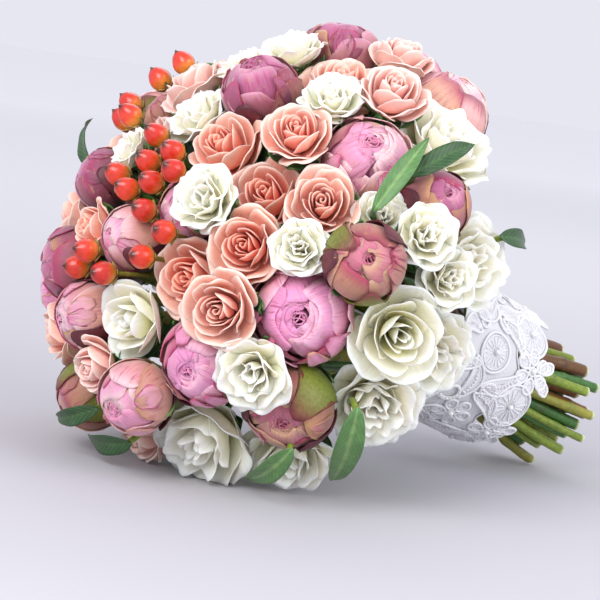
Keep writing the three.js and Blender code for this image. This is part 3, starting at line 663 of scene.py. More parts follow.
def make_blade(making, rng, centre_line, side, width, dark):
    """A lance-shaped leaf about a middle line given at evenly spaced shares from its foot to its tip."""
    rows, cols = len(centre_line), 9
    share = np.linspace(0, 1, rows)
    outline = np.maximum(share, 0.001) ** 0.6 * (1 - share) ** 0.95
    half = width / 2 * outline / outline.max()
    half[0], half[-1] = 0.8, 0.08  # as wide as its stalk at its foot, and nearly sharp at its tip
    along = np.gradient(centre_line, axis=0)
    along /= np.linalg.norm(along, axis=1, keepdims=True)
    side = side - along * (along @ side)[:, None]
    side /= np.linalg.norm(side, axis=1, keepdims=True)
    face = np.cross(side, along)
    # folded along its rib, and rippled at its sides
    u = np.linspace(-1, 1, cols)
    fold = 0.26 * width / 2 * np.abs(u) ** 1.3
    ripple = 0.35 * np.sin(share * 14 + rng.uniform(0, 6))[:, None] * u[None] ** 2
    lift = fold[None] * np.sin(np.pi * share)[:, None] + ripple
    front = centre_line[:, None] + side[:, None] * (u[None, :, None] * half[:, None, None])
    front = front + face[:, None] * lift[..., None]
    top = linear("#2c4f2a" if dark else "#557f47")
    pale = linear("#456b3a" if dark else "#8fae6c")
    rib = np.exp(-(u / 0.12) ** 2)[None, :, None]
    mottled = top * (1 + 0.12 * wave(rng, share[:, None] * 3, u[None] * 2)[..., None])
    tint = mottled * (1 - 0.7 * rib) + pale * 0.7 * rib
    flat = np.stack(np.broadcast_arrays(u[None] * half[:, None], share[:, None] * 4 * width), axis=-1)
    making.sheet(front, 0.5, flat, tint, 1)


# ---- node trees

def add(tree, kind, settings=None, **feeds):
    """One node, with its settings, and each input socket fed a value or another node's output. The word a_b
    names the socket "A B", and i7 is the eighth socket."""
    node = tree.nodes.new(kind)
    for name, value in (settings or {}).items():
        setattr(node, name, value)
    for name, feed in feeds.items():
        if name[0] == "i" and name[1:].isdigit():
            socket = node.inputs[int(name[1:])]
        else:
            socket = next(s for s in node.inputs if s.name.lower().replace(" ", "_") == name and s.enabled)
        if isinstance(feed, bpy.types.NodeSocket):
            tree.links.new(feed, socket)
        else:
            socket.default_value = feed
    return node


def new_finish(name):
    """An empty material and its tree."""
    finish = bpy.data.materials.new(name)
    finish.use_nodes = True
    finish.node_tree.nodes.clear()
    return finish, finish.node_tree


def petal_finish(name, thread, spread, vein_hex, strength, spot_hex, spots, rough, sheen, glow):
    """Petal skin: water-filled cells over a fan of veins that run from the foot to the edge. To the eye:
    soft satin, streaked along the petal in patches, with a few withered spots."""
    finish, tree = new_finish(name)
    tint = add(tree, "ShaderNodeAttribute", {"attribute_name": "tint"})
    surface = add(tree, "ShaderNodeUVMap", {"uv_map": "surface"})
    # veins stand `thread` mm apart and run `spread` mm before they change
    stretched = add(tree, "ShaderNodeMapping", vector=surface.outputs[0], scale=(1 / thread, 1 / spread, 1))
    veins = add(tree, "ShaderNodeTexNoise", vector=stretched.outputs[0], scale=1.0, detail=4.0,
                roughness=0.65)
    drawn = add(tree, "ShaderNodeMapRange", value=veins.outputs[0], i1=0.5, i2=0.62, i3=0.0, i4=strength)
    patches = add(tree, "ShaderNodeTexNoise", vector=surface.outputs[0], scale=0.07, detail=2.0)
    where = add(tree, "ShaderNodeMapRange", value=patches.outputs[0], i1=0.48, i2=0.62, i3=0.12, i4=1.0)
    vein_share = add(tree, "ShaderNodeMath", {"operation": "MULTIPLY"}, i0=drawn.outputs[0],
                     i1=where.outputs[0])
    veined = add(tree, "ShaderNodeMix", {"data_type": "RGBA"}, i0=vein_share.outputs[0],
                 i6=tint.outputs["Color"], i7=(*linear(vein_hex), 1))
    blots = add(tree, "ShaderNodeTexNoise", vector=surface.outputs[0], scale=0.16, detail=5.0, roughness=0.7)
    blot_share = add(tree, "ShaderNodeMapRange", value=blots.outputs[0], i1=0.56, i2=0.70, i3=0.0, i4=spots)
    spotted = add(tree, "ShaderNodeMix", {"data_type": "RGBA"}, i0=blot_share.outputs[0],
                  i6=veined.outputs[2], i7=(*linear(spot_hex), 1))
    light = add(tree, "ShaderNodeMapRange", value=veins.outputs[0], i1=0.3, i2=0.7, i3=1.04, i4=0.93)
    shade = add(tree, "ShaderNodeVectorMath", {"operation": "SCALE"}, i0=spotted.outputs[2],
                i3=light.outputs[0])
    bump = add(tree, "ShaderNodeBump", strength=0.3, distance=0.0004, height=veins.outputs[0])
    skin = add(tree, "ShaderNodeBsdfPrincipled", base_color=shade.outputs[0], roughness=rough, ior=1.4,
               normal=bump.outputs[0], sheen_weight=sheen, sheen_roughness=0.5, subsurface_weight=glow,
               subsurface_radius=(1.0, 0.7, 0.6), subsurface_scale=0.003)
    add(tree, "ShaderNodeOutputMaterial", surface=skin.outputs[0])
    return finish


def green_finish(name, grain, rough, coat, deep=0.72):
    """Berry, sepal or stem skin under a wax layer. To the eye: satin, mottled at `grain` mm, with soft
    highlights."""
    finish, tree = new_finish(name)
    tint = add(tree, "ShaderNodeAttribute", {"attribute_name": "tint"})
    place = add(tree, "ShaderNodeTexCoord")
    mottle = add(tree, "ShaderNodeTexNoise", vector=place.outputs["Object"], scale=1 / (grain * MM),
                 detail=5.0, roughness=0.6)
    light = add(tree, "ShaderNodeMapRange", value=mottle.outputs[0], i1=0.3, i2=0.7, i3=deep, i4=1.18)
    shade = add(tree, "ShaderNodeVectorMath", {"operation": "SCALE"}, i0=tint.outputs["Color"],
                i3=light.outputs[0])
    bump = add(tree, "ShaderNodeBump", strength=0.4, distance=0.0003, height=mottle.outputs[0])
    skin = add(tree, "ShaderNodeBsdfPrincipled", base_color=shade.outputs[0], roughness=rough, ior=1.42,
               normal=bump.outputs[0], coat_weight=coat, coat_roughness=0.3)
    add(tree, "ShaderNodeOutputMaterial", surface=skin.outputs[0])
    return finish


def leaf_finish(name):
    """A leaf's wax skin over side veins that slant from its rib. To the eye: satin green, lighter along the
    veins, with a soft highlight."""
    vein_gap, slant_back = 3.5, 1.6  # mm between veins, and how far they lean back for each mm outwards
    finish, tree = new_finish(name)
    tint = add(tree, "ShaderNodeAttribute", {"attribute_name": "tint"})
    place = add(tree, "ShaderNodeTexCoord")
    laid_flat = add(tree, "ShaderNodeUVMap", {"uv_map": "surface"})
    surface = add(tree, "ShaderNodeSeparateXYZ", vector=laid_flat.outputs[0])
    side = add(tree, "ShaderNodeMath", {"operation": "ABSOLUTE"}, i0=surface.outputs[0])
    slant = add(tree, "ShaderNodeMath", {"operation": "MULTIPLY_ADD"}, i0=side.outputs[0], i1=-slant_back,
                i2=surface.outputs[1])
    turns = add(tree, "ShaderNodeMath", {"operation": "MULTIPLY"}, i0=slant.outputs[0],
                i1=2 * math.pi / vein_gap)
    bands = add(tree, "ShaderNodeMath", {"operation": "SINE"}, i0=turns.outputs[0])
    veins = add(tree, "ShaderNodeMapRange", value=bands.outputs[0], i1=0.72, i2=1.0, i3=0.0, i4=1.0)
    mottle = add(tree, "ShaderNodeTexNoise", vector=place.outputs["Object"], scale=1 / (4 * MM), detail=4.0)
    light = add(tree, "ShaderNodeMapRange", value=mottle.outputs[0], i1=0.3, i2=0.7, i3=0.78, i4=1.15)
    shade = add(tree, "ShaderNodeVectorMath", {"operation": "SCALE"}, i0=tint.outputs["Color"],
                i3=light.outputs[0])
    part = add(tree, "ShaderNodeMath", {"operation": "MULTIPLY"}, i0=veins.outputs[0], i1=0.14)
    veined = add(tree, "ShaderNodeMix", {"data_type": "RGBA"}, i0=part.outputs[0], i6=shade.outputs[0],
                 i7=(*linear("#9dbb7c"), 1))
    bump = add(tree, "ShaderNodeBump", {"invert": True}, strength=0.35, distance=0.0004,
               height=veins.outputs[0])
    skin = add(tree, "ShaderNodeBsdfPrincipled", base_color=veined.outputs[2], roughness=0.42, ior=1.42,
               normal=bump.outputs[0], coat_weight=0.15, coat_roughness=0.35)
    add(tree, "ShaderNodeOutputMaterial", surface=skin.outputs[0])
    return finish


def thread_finish(name, pale, dim, twist, rough, alpha=1.0, bump_depth=0.0002):
    """Spun thread, net, cloth or crinkled paper. To the eye: a pale colour, with painted shade in a dimmer
    colour between its turns, `twist` mm apart and coarser than the real ones so that they show, and a soft
    satin light."""
    finish, tree = new_finish(name)
    place = add(tree, "ShaderNodeTexCoord")
    turns = add(tree, "ShaderNodeTexWave", {"wave_type": "BANDS", "bands_direction": "DIAGONAL"},
                vector=place.outputs["Object"], scale=0.32 / (twist * MM), distortion=2.5, detail=2.0)
    uneven = add(tree, "ShaderNodeTexNoise", vector=place.outputs["Object"], scale=1 / (6 * MM), detail=3.0)
    share = add(tree, "ShaderNodeMath", {"operation": "MULTIPLY"}, i0=turns.outputs[1], i1=uneven.outputs[0])
    # painted shade: the dim colour fills the grooves between the turns, in uneven patches
    shade = add(tree, "ShaderNodeMix", {"data_type": "RGBA"}, i0=share.outputs[0], i6=(*linear(dim), 1),
                i7=(*linear(pale), 1))
    bump = add(tree, "ShaderNodeBump", strength=0.5, distance=bump_depth, height=turns.outputs[1])
    cloth = add(tree, "ShaderNodeBsdfPrincipled", base_color=shade.outputs[2], roughness=rough,
                normal=bump.outputs[0], sheen_weight=0.35, alpha=alpha)
    add(tree, "ShaderNodeOutputMaterial", surface=cloth.outputs[0])
    return finish


# Petals: name, mm between veins, mm along a vein, vein colour and strength, spot colour and strength,
# roughness, sheen and how much light glows through. Berry, sepal and stem: name, mm of mottle, roughness, wax
# and how dark the mottle is. Threads: name, pale colour, dim colour of the painted shade between turns, mm
# between turns and roughness.
FINISHES = {
    # thick matt petals with dark streaks and withered tan spots
    "peony": petal_finish("peony petal", 1.2, 15, "#ab2c63", 0.7, "#b98f62", 0.75, 0.5, 0.25, 0.25),
    # thin velvety petals that glow coral where light comes through
    "spray_rose": petal_finish("rose petal", 0.8, 12, "#f09080", 0.22, "#f6d3b4", 0.3, 0.55, 0.12, 0.35),
    # papery white petals that glow strongly
    "lisianthus": petal_finish("lisianthus petal", 1.2, 12, "#eeeccb", 0.35, "#f0e8c4", 0.3, 0.6, 0.2, 0.6),
    # glossy red berry skin with round highlights
    "hypericum": green_finish("hypericum berry", 2.5, 0.2, 0.5, 0.86),
    # leathery sepals, nearly without gloss
    "sepal": green_finish("sepal and hip skin", 1.6, 0.5, 0.1),
    "leaf": leaf_finish("waxed leaf"),
    # smooth green and brown stems, mottled, with a soft highlight along them
    "stem": green_finish("stem skin", 2.2, 0.42, 0.15, 0.66),
    # stretched green crepe paper, matt
    "tape": thread_finish("crepe paper tape", "#7d9a58", "#5d7a40", 1.2, 0.8),
    # white net that lets the stems show through a little
    "tulle": thread_finish("polyester tulle", "#ffffff", "#ededf2", 0.9, 0.7, alpha=0.7),
    # sheer smooth white cloth inside the motifs
    "satin": thread_finish("sheer organza", "#ffffff", "#f0f0f5", 0.6, 0.45, alpha=0.8),
    # firm round white cord with a satin light
    "cord": thread_finish("gimp cord", "#ffffff", "#e9e9ee", 0.7, 0.35),
    # smooth cream beads with a sharp highlight
    "pearl": thread_finish("imitation pearl", "#fdfbf8", "#e2dfe2", 3.0, 0.15, bump_depth=0.00001),
}


def flow(name, kind):
    """A Geometry Nodes tree that follows the lines of a piece: a tube along each, or beads along each."""
    tree = bpy.data.node_groups.new(name, "GeometryNodeTree")
    tree.is_modifier = True
    sizes = {"Geometry": "Geometry", "Thickness": "Float", "Spacing": "Float", "Unevenness": "Float",
             "Sides": "Int", "Finish": "Material"}
    for label, value in sizes.items():
        tree.interface.new_socket(label, in_out="INPUT", socket_type="NodeSocket" + value)
    tree.interface.new_socket("Geometry", in_out="OUTPUT", socket_type="NodeSocketGeometry")
    given = tree.nodes.new("NodeGroupInput").outputs
    line = add(tree, "GeometryNodeMeshToCurve", mesh=given["Geometry"])
    even = add(tree, "GeometryNodeResampleCurve", {"mode": "LENGTH"}, curve=line.outputs[0],
               length=given["Spacing"])
    if kind == "tube":
        own = add(tree, "GeometryNodeInputNamedAttribute", {"data_type": "FLOAT"}, name="own_thickness")
        here = add(tree, "GeometryNodeInputPosition")
        lumps = add(tree, "ShaderNodeTexNoise", {"noise_dimensions": "3D"}, vector=here.outputs[0],
                    scale=180.0, detail=2.0)
        swell = add(tree, "ShaderNodeMath", {"operation": "MULTIPLY_ADD"}, i0=lumps.outputs[0],
                    i1=given["Unevenness"], i2=1.0)
        share = add(tree, "ShaderNodeMath", {"operation": "MULTIPLY"}, i0=swell.outputs[0], i1=own.outputs[0])
        rim = add(tree, "GeometryNodeCurvePrimitiveCircle", resolution=given["Sides"],
                  radius=given["Thickness"])
        shape = add(tree, "GeometryNodeCurveToMesh", curve=even.outputs[0], profile_curve=rim.outputs[0],
                    scale=share.outputs[0], fill_caps=True)
    else:
        bead = add(tree, "GeometryNodeMeshIcoSphere", radius=given["Thickness"], subdivisions=2)
        shape = add(tree, "GeometryNodeInstanceOnPoints", points=even.outputs[0], instance=bead.outputs[0])
    solid = add(tree, "GeometryNodeRealizeInstances", geometry=shape.outputs[0])
    smooth = add(tree, "GeometryNodeSetShadeSmooth", geometry=solid.outputs[0])
    dressed = add(tree, "GeometryNodeSetMaterial", geometry=smooth.outputs[0], material=given["Finish"])
    tree.links.new(dressed.outputs[0], tree.nodes.new("NodeGroupOutput").inputs[0])
    return tree


TUBE_TREE = flow("tube along a line", "tube")
BEAD_TREE = flow("beads along a line", "beads")


def follow(name, lines, tree, thickness, spacing, finish, unevenness=0.0, sides=10, tints=None, shares=None):
    """A piece that follows lines of points in millimetres. Tints and shares of its thickness may change along
    them."""
    points = np.concatenate(lines) * MM
    starts = np.cumsum([0] + [len(line) for line in lines])
    edges = [(a + k, a + k + 1) for a, line in zip(starts, lines) for k in range(len(line) - 1)]
    mesh = bpy.data.meshes.new(name)
    mesh.from_pydata(points.tolist(), edges, [])
    own = np.concatenate(shares) if shares else np.ones(len(points))
    mesh.attributes.new("own_thickness", "FLOAT", "POINT").data.foreach_set("value", own)
    if tints is not None:
        colour = np.concatenate([np.concatenate(tints), np.ones((len(points), 1))], axis=1)
        mesh.attributes.new("tint", "FLOAT_COLOR", "POINT").data.foreach_set("color", colour.ravel())
    drawn = into_scene(name + "_line", mesh)
    step = drawn.modifiers.new("shape", "NODES")
    step.node_group = tree
    values = {"Thickness": thickness * MM, "Spacing": spacing * MM, "Unevenness": unevenness, "Sides": sides,
              "Finish": finish}
    for item in tree.interface.items_tree:
        if item.item_type == "SOCKET" and item.in_out == "INPUT" and item.name in values:
            step[item.identifier] = values[item.name]
    bpy.context.view_layer.update()
    made = bpy.data.meshes.new_from_object(drawn.evaluated_get(bpy.context.evaluated_depsgraph_get()))
    drawn.modifiers.clear()
    bpy.data.objects.remove(drawn)
    made.name = name
    where = np.empty(3 * len(made.vertices))
    made.vertices.foreach_get("co", where)
    made.vertices.foreach_set("co", inside_box(where.reshape(-1, 3)).ravel())
    return into_scene(name, made)


def settle(piece, slot, *nodes):
    """A finished piece rides with the bouquet and stands for its CAD nodes, which are hidden. Its slot is not
    used.
    """
    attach(piece, "root")
    if nodes:
        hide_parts(*nodes)
    return piece


# ---- stems

STEM_GREENS = ["#83942c", "#3f6c2e", "#918e36", "#316230", "#798d30", "#8a8036"]
STEM_BROWNS = ["#613c22", "#724b28", "#838f2e"]


def smooth_line(points, step=3.0):
    """A smooth line through points, with a point about every `step` mm."""
    points = np.asarray(points)
    reach = np.concatenate([[0], np.cumsum(np.linalg.norm(np.diff(points, axis=0), axis=1))])
    slope = np.gradient(points, reach, axis=0)
    at = np.linspace(0, reach[-1], max(4, int(reach[-1] / step)))
    k = np.clip(np.searchsorted(reach, at) - 1, 0, len(points) - 2)
    gap = (reach[k + 1] - reach[k])[:, None]
    t = (at[:, None] - reach[k][:, None]) / gap
    return ((2 * t ** 3 - 3 * t ** 2 + 1) * points[k] + (t ** 3 - 2 * t ** 2 + t) * gap * slope[k]
            + (-2 * t ** 3 + 3 * t ** 2) * points[k + 1] + (t ** 3 - t ** 2) * gap * slope[k + 1])


def main_stem(rng, route, colour, dark):
    """The stem's line, tints and shares of its thickness: stout low down, with joints where a stripped leaf
    stood and a pale cut end."""
    line = smooth_line(route, 2.5)
    along = np.linspace(0, 1, len(line))
    tint = colour * (1 + 0.15 * np.sin(along * 9 + rng.uniform(0, 6))[:, None])
    share = np.ones(len(line))
    reach = np.concatenate([[0], np.cumsum(np.linalg.norm(np.diff(line, axis=0), axis=1))])
    # joints swell and darken the stem over a few millimetres
    for joint in np.arange(rng.uniform(12, 30), reach[-1], rng.uniform(26, 40)):
        near = np.exp(-((reach - joint) / 2.2) ** 2)
        share = share * (1 + 0.22 * near)
        tint = tint + (dark - tint) * (0.5 * near)[:, None]
    stout = rng.uniform(1.02, 1.22)
    share = share * (1 + (stout - 1) * np.clip((reach[-1] * 0.30 - reach) / 20, 0, 1))
    tint[0] = linear("#dfe3b4")
    # the pale cut ends sharply, a fifth of a step up
    line = np.insert(line, 1, line[0] + (line[1] - line[0]) * 0.22, axis=0)
    return line, np.insert(tint, 1, tint[1], axis=0), np.insert(share, 1, share[0], axis=0)


def make_stem(name, kind, rng, points, triangles, ends):
    """The main stem from its cut end to the fork, and a branch to each flower, as one piece."""
    route = stem_of(points, triangles)
    greens = STEM_BROWNS + STEM_GREENS[:3] if kind == "peony" else STEM_GREENS
    colour = linear(greens[rng.integers(len(greens))])
    dark = linear("#4b3a22" if kind == "peony" else "#4f6b2a")
    parts = [main_stem(rng, route, colour, dark)]
    top = route[-1]
    for foot, facing in ends:
        way = foot - facing * min(12.0, 0.4 * np.linalg.norm(foot - top))
        first = [route[-2], top] if len(ends) == 1 else [top, (top + way) / 2 + facing * 0.5]
        line = smooth_line([*first, way, foot])
        along = np.linspace(0, 1, len(line))
        tint = colour * (1 + 0.15 * np.sin(along * 9 + rng.uniform(0, 6))[:, None])
        parts.append((line, tint, np.full(len(line), BRANCH_RADIUS[kind] / STEM_RADIUS[kind])))
    lines, tints, shares = zip(*parts)
    return follow(name + "_stem", lines, TUBE_TREE, STEM_RADIUS[kind], 2.0, FINISHES["stem"], 0.14, 10,
                  [np.clip(tint, 0, 1) for tint in tints], shares)


# ---- plants

SLOTS = {"peony": "peony_petals", "spray_rose": "rose_petals", "lisianthus": "lisianthus_petals",
         "hypericum": "hypericum_berries"}
ROSY_LISIANTHUS = {"lisianthus_01", "lisianthus_02", "lisianthus_10"}
SHORT_LEAVES = {"foliage_05"}  # short dark leaves by the lace


def make_leaves(name, rng, points, triangles):
    """The leaves of a foliage stem, and where its stem meets each of them."""
    making, ends = Making(), []
    small = name in SHORT_LEAVES
    for blade in blades_of(points, triangles):
        share = np.linspace(-0.05, 0.90 if small else 1.07, 19)
        line = np.stack([np.polyval(blade["curve"][:, axis], share) for axis in range(3)], axis=-1)
        side = blade["side"]
        if np.cross(side, line[-1] - line[0]) @ (line[8] - FOCUS) < 0:
            side = -side
        width = blade["width"] * (0.66 if small else 0.80)
        make_blade(making, rng, line, side, width, rng.uniform() < 0.4 or small)
        stalk = np.stack([np.polyval(blade["curve"][:, axis], 0.02) for axis in range(3)])
        stalk = stalk - unit(stalk - FOCUS) * 1.8
        ends.append((stalk, unit(stalk - FOCUS)))
    return making, ends


def make_flowers(name, kind, order, rng, points, triangles):
    """A plant's flowers, with their collars of leaves, or its berries, and where its stem meets each one."""
    making, ends = Making(), []
    for number, bloom in enumerate(blooms_of(kind, points, triangles)):
        if kind == "peony":
            make_peony(making, rng, bloom, PEONY_LOOKS.get(name) or HIDDEN_LOOKS[order % len(HIDDEN_LOOKS)])
        elif kind == "spray_rose":
            make_rose(making, rng, bloom, ROSE_LOOKS.get(name) or ROSES[(order + number) % len(ROSES)])
        elif kind == "lisianthus":
            make_lisianthus(making, rng, bloom, name in ROSY_LISIANTHUS and number == 0)
        else:
            make_berry(making, rng, bloom)
        if kind in COLLARS:
            make_collar(making, rng, bloom, *COLLARS[kind])
        ends.append((bloom["centre"] - bloom["facing"] * 0.8 * bloom["radius"], bloom["facing"]))
    return making, ends


for order, name in enumerate(sorted(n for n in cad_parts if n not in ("binding_tape", "lace_wrap"))):
    kind = name.rsplit("_", 1)[0]
    rng = np.random.default_rng(SEED + order)
    points, triangles = solid_of(name)
    if kind == "foliage":
        making, ends = make_leaves(name, rng, points, triangles)
        leaves = making.build(name + "_leaves", [FINISHES["leaf"], FINISHES["leaf"]])
        settle(leaves, "foliage_leaves", name)
    else:
        making, ends = make_flowers(name, kind, order, rng, points, triangles)
        head = making.build(name + "_head", [FINISHES[kind], FINISHES["sepal"]])
        settle(head, SLOTS[kind], name)
    settle(make_stem(name, kind, rng, points, triangles, ends), "foliage_leaves")

# ---- the binding and the lace sleeve

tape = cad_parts["binding_tape"]
tape.data.materials.clear()
tape.data.materials.append(FINISHES["tape"])

ROUND, DEEP = 96, 23  # the sleeve's reach is measured this many times round it and down it


def measured_reach():
    """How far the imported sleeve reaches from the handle's middle line, at each height and each way round."""
    solid = BVHTree.FromPolygons([Vector(p) for p in lace_points], lace_triangles.tolist())
    far_out = 120
    reach = np.zeros((DEEP, ROUND))
    for row, drop in enumerate(np.linspace(LACE_TOP + 0.5, LACE_END - 0.5, DEEP)):
        middle = HEAD - UP_HANDLE * drop
        for col in range(ROUND):
            angle = 2 * np.pi * col / ROUND
            way = HANDLE_UP * math.cos(angle) + HANDLE_SIDE * math.sin(angle)
            hit = solid.ray_cast(Vector(middle + way * far_out), Vector(-way))
            reach[row, col] = far_out - hit[3] if hit[0] is not None else 0
    for row in range(DEEP):
        gaps = reach[row] < 5
        if gaps.any():
            reach[row, gaps] = reach[row, ~gaps].mean() if (~gaps).any() else reach[row - 1].mean()
    return sum(np.roll(reach, k, axis=1) for k in (-1, 0, 1)) / 3


reach_table = measured_reach()


def on_sleeve(angle, drop, lift=0.0):
    """Points on the sleeve: angle in radians round the handle from its upper side, drop down the handle."""
    angle, drop, lift = np.broadcast_arrays(np.asarray(angle, float), drop, lift)
    row = np.clip((drop - LACE_TOP - 0.5) / (LACE_END - LACE_TOP - 1) * (DEEP - 1), 0, DEEP - 1.001)
    col = (angle / (2 * np.pi) * ROUND) % ROUND
    r0, c0 = row.astype(int), col.astype(int) % ROUND
    fr, fc = row - r0, col - col.astype(int)
    c1 = (c0 + 1) % ROUND
    reach = ((reach_table[r0, c0] * (1 - fc) + reach_table[r0, c1] * fc) * (1 - fr)
             + (reach_table[r0 + 1, c0] * (1 - fc) + reach_table[r0 + 1, c1] * fc) * fr) + lift
    way = HANDLE_UP * np.cos(angle)[..., None] + HANDLE_SIDE * np.sin(angle)[..., None]
    return HEAD - UP_HANDLE * drop[..., None] + way * reach[..., None]


MEAN_REACH = float(reach_table.mean())
SECTORS = 6  # the pattern repeats this many times round the handle
HEM = LACE_END - 20.0  # the net ends here, and the corded motifs hang below it


def net_edge(angle):
    """How far down the handle the net's wavy lower edge lies."""
    return HEM + 3.0 * np.sin(SECTORS * angle) + 1.5 * np.sin(2 * SECTORS * angle + 1)


cords, fine_cords, bead_lines, pearls = [], [], [], []
stitched = Making()


def on_motif(x, y, home, turn=0.0, lift=0.9):
    """Points of a motif, drawn flat in millimetres about its home on the sleeve."""
    x, y = np.asarray(x, float), np.asarray(y, float)
    c, s = math.cos(turn), math.sin(turn)
    angle = home[0] + (x * c - y * s) / MEAN_REACH
    drop = np.clip(home[1] + x * s + y * c, LACE_TOP + 1, LACE_END + 5)
    return angle, drop, on_sleeve(angle, drop, lift)


def faces_inwards(corner, ahead, other):
    """Whether a face, turning from one neighbour of its corner to the other, looks at the handle's middle."""
    return np.cross(ahead - corner, other - corner) @ (corner - middle_beside(corner)) < 0


def loop(x, y, home, turn=0.0, filled=True, inner=0.0):
    """A closed corded outline over a patch of sheer cloth, with a finer second cord inside."""
    angle, drop, line = on_motif(x, y, home, turn)
    cords.append(np.concatenate([line, line[:1]]))
    middle_angle, middle_drop = angle.mean(), drop.mean()

    def shrunk(share, lift):
        inner_angle = middle_angle + (angle - middle_angle) * share
        return on_sleeve(inner_angle, middle_drop + (drop - middle_drop) * share, lift)

    if inner:
        again = shrunk(inner, 0.8)
        fine_cords.append(np.concatenate([again, again[:1]]))
    if filled:
        dome = ((1.0, 0.5), (0.7, 0.75), (0.4, 0.8), (0.03, 0.8))
        front = np.stack([shrunk(share, lift) for share, lift in dome])
        front = np.concatenate([front, front[:, :1]], axis=1)
        if faces_inwards(front[0, 0], front[0, 1], front[1, 0]):
            front = front[:, ::-1]
        rows, cols, _ = front.shape
        stitched.sheet(front, 0.25, np.zeros((rows, cols, 2)), np.ones((rows, cols, 3)))


def add_pearl(home):
    """One pearl in the middle of a motif."""
    pearls.append(on_motif([0, 0.1], [0, 0.1], home, lift=1.5)[2])


def round_scallop(home, size):
    """A corded round with 17 stitches that run out from its pearl."""
    a = np.linspace(0, 2 * np.pi, 30, endpoint=False)
    loop(size * np.cos(a), size * np.sin(a) * 0.94, home, inner=0.84)
    for b in np.linspace(0.15, 2 * np.pi - 0.15, 17):
        reach = np.linspace(0.24, 0.66 if int(b * 9) % 2 else 0.74, 5) * size
        fine_cords.append(on_motif(reach * np.sin(b), reach * np.cos(b), home, lift=0.95)[2])
    add_pearl(home)


def flower(home, size, petals=6, turn=0.0):
    """Separate rounded loops about a pearl, open to what lies beneath between them."""
    a = np.linspace(0, 2 * np.pi, 18, endpoint=False)
    for k in range(petals):
        b = turn + 2 * np.pi * k / petals
        ex, ey = 0.36 * size * np.cos(a), 0.27 * size * np.sin(a) * (1 + 0.3 * np.cos(a))
        px, py = 0.64 * size * math.cos(b), 0.64 * size * math.sin(b)
        x, y = px + ex * math.cos(b) - ey * math.sin(b), py + ex * math.sin(b) + ey * math.cos(b)
        loop(x, y, home, inner=0.5)
    add_pearl(home)
    loop(0.2 * size * np.cos(a[::2]), 0.2 * size * np.sin(a[::2]), home, filled=False)


def long_leaf(home, size, turn, share=0.30, bow=0.2):
    """A curved leaf with a row of beads down its middle."""
    t = np.linspace(0, 1, 16)
    width = share * size * np.sin(np.pi * t ** 0.8) ** 0.9
    bend = bow * size * np.sin(np.pi * t * 0.9)
    x = np.concatenate([t, t[::-1][1:-1]]) * size - size / 2
    y = np.concatenate([bend + width / 2, (bend - width / 2)[::-1][1:-1]])
    loop(x, y, home, turn, inner=0.72)
    bead_lines.append(on_motif((t[2:-2] - 0.5) * size, bend[2:-2], home, turn, 1.0)[2])


def curl(home, size, turn, flip=1):
    """A tendril that winds inwards, with beads between its two cords."""
    a = np.linspace(0, 1.7 * np.pi, 26)
    r = size * (1 - 0.42 * a / np.pi)
    x, y = r * np.cos(a), flip * r * np.sin(a)
    cords.append(on_motif(x, y, home, turn)[2])
    fine_cords.append(on_motif(0.80 * x, 0.80 * y, home, turn)[2])
    bead_lines.append(on_motif(0.9 * x[:20], 0.9 * y[:20], home, turn, 1.1)[2])


for k in range(SECTORS):
    step = 2 * np.pi / SECTORS
    angle = k * step + 0.1
    odd = k % 2
    round_scallop((angle, LACE_END - 13), 13.0)
    flower((angle + 0.52 * step, LACE_END - 10), 12.5, turn=0.5 * k)
    t = np.linspace(0, 2 * np.pi, 16, endpoint=False)
    for b in (-0.5, 0.5):
        home = angle + 0.52 * step + 0.26 * b, LACE_END + 0.5
        loop(6.0 * np.cos(t), 3.1 * np.sin(t), home, math.pi / 2 - b, inner=0.55)
    long_leaf((angle + 0.27 * step, LACE_END - 29), 27, 0.9 + 0.3 * odd, 0.38)
    long_leaf((angle + 0.80 * step, LACE_END - 29), 25, 2.4 - 0.3 * odd, 0.36, -0.2)
    curl((angle + 0.03 * step, LACE_END - 34), 8.0, 0.6 * k, 1 if odd else -1)
    if odd:
        flower((angle + 0.53 * step, LACE_END - 40), 11.5, turn=0.3)
    else:
        round_scallop((angle + 0.53 * step, LACE_END - 40), 11.0)
    long_leaf((angle + 0.10 * step, LACE_END - 50), 26, 2.0 + k, 0.36)
    long_leaf((angle + 0.36 * step, LACE_END - 58), 22, 0.9 + k, 0.36, -0.2)
    curl((angle + 0.85 * step, LACE_END - 53), 7.5, 1.3 * k, -1 if odd else 1)
    long_leaf((angle + 0.62 * step, LACE_END - 64), 22, 0.4 + k, 0.36)
full = np.linspace(0, 2 * np.pi, 300)
fine_cords.append(on_sleeve(full, net_edge(full), 0.5))

grid_angle, grid_down = np.meshgrid(np.linspace(0, 2 * np.pi, 145), np.linspace(0, 1, 30))
grid_drop = LACE_TOP + 0.6 + (net_edge(grid_angle) - LACE_TOP - 0.6) * grid_down
ground_grid = on_sleeve(grid_angle, grid_drop, 0.2 * np.sin(9 * grid_angle) * grid_down)


def closed_round(grid, thickness):
    """A sleeve of cloth as one closed shell: its grid meets itself round the handle."""
    grid = grid[:, :-1]
    rows, cols, _ = grid.shape
    outwards = grid - middle_beside(grid)
    inner = grid - thickness * outwards / np.linalg.norm(outwards, axis=2, keepdims=True)
    index = np.arange(rows * cols).reshape(rows, cols)
    nxt = np.roll(index, -1, axis=1)
    quads = np.stack([index[:-1], nxt[:-1], nxt[1:], index[1:]], axis=-1).reshape(-1, 4)
    more = rows * cols
    rims = [np.stack([index[0], index[0] + more, nxt[0] + more, nxt[0]], axis=-1),
            np.stack([index[-1], nxt[-1], nxt[-1] + more, index[-1] + more], axis=-1)]
    faces = np.concatenate([quads, quads[:, ::-1] + more] + rims)
    return np.concatenate([grid.reshape(-1, 3), inner.reshape(-1, 3)]), faces


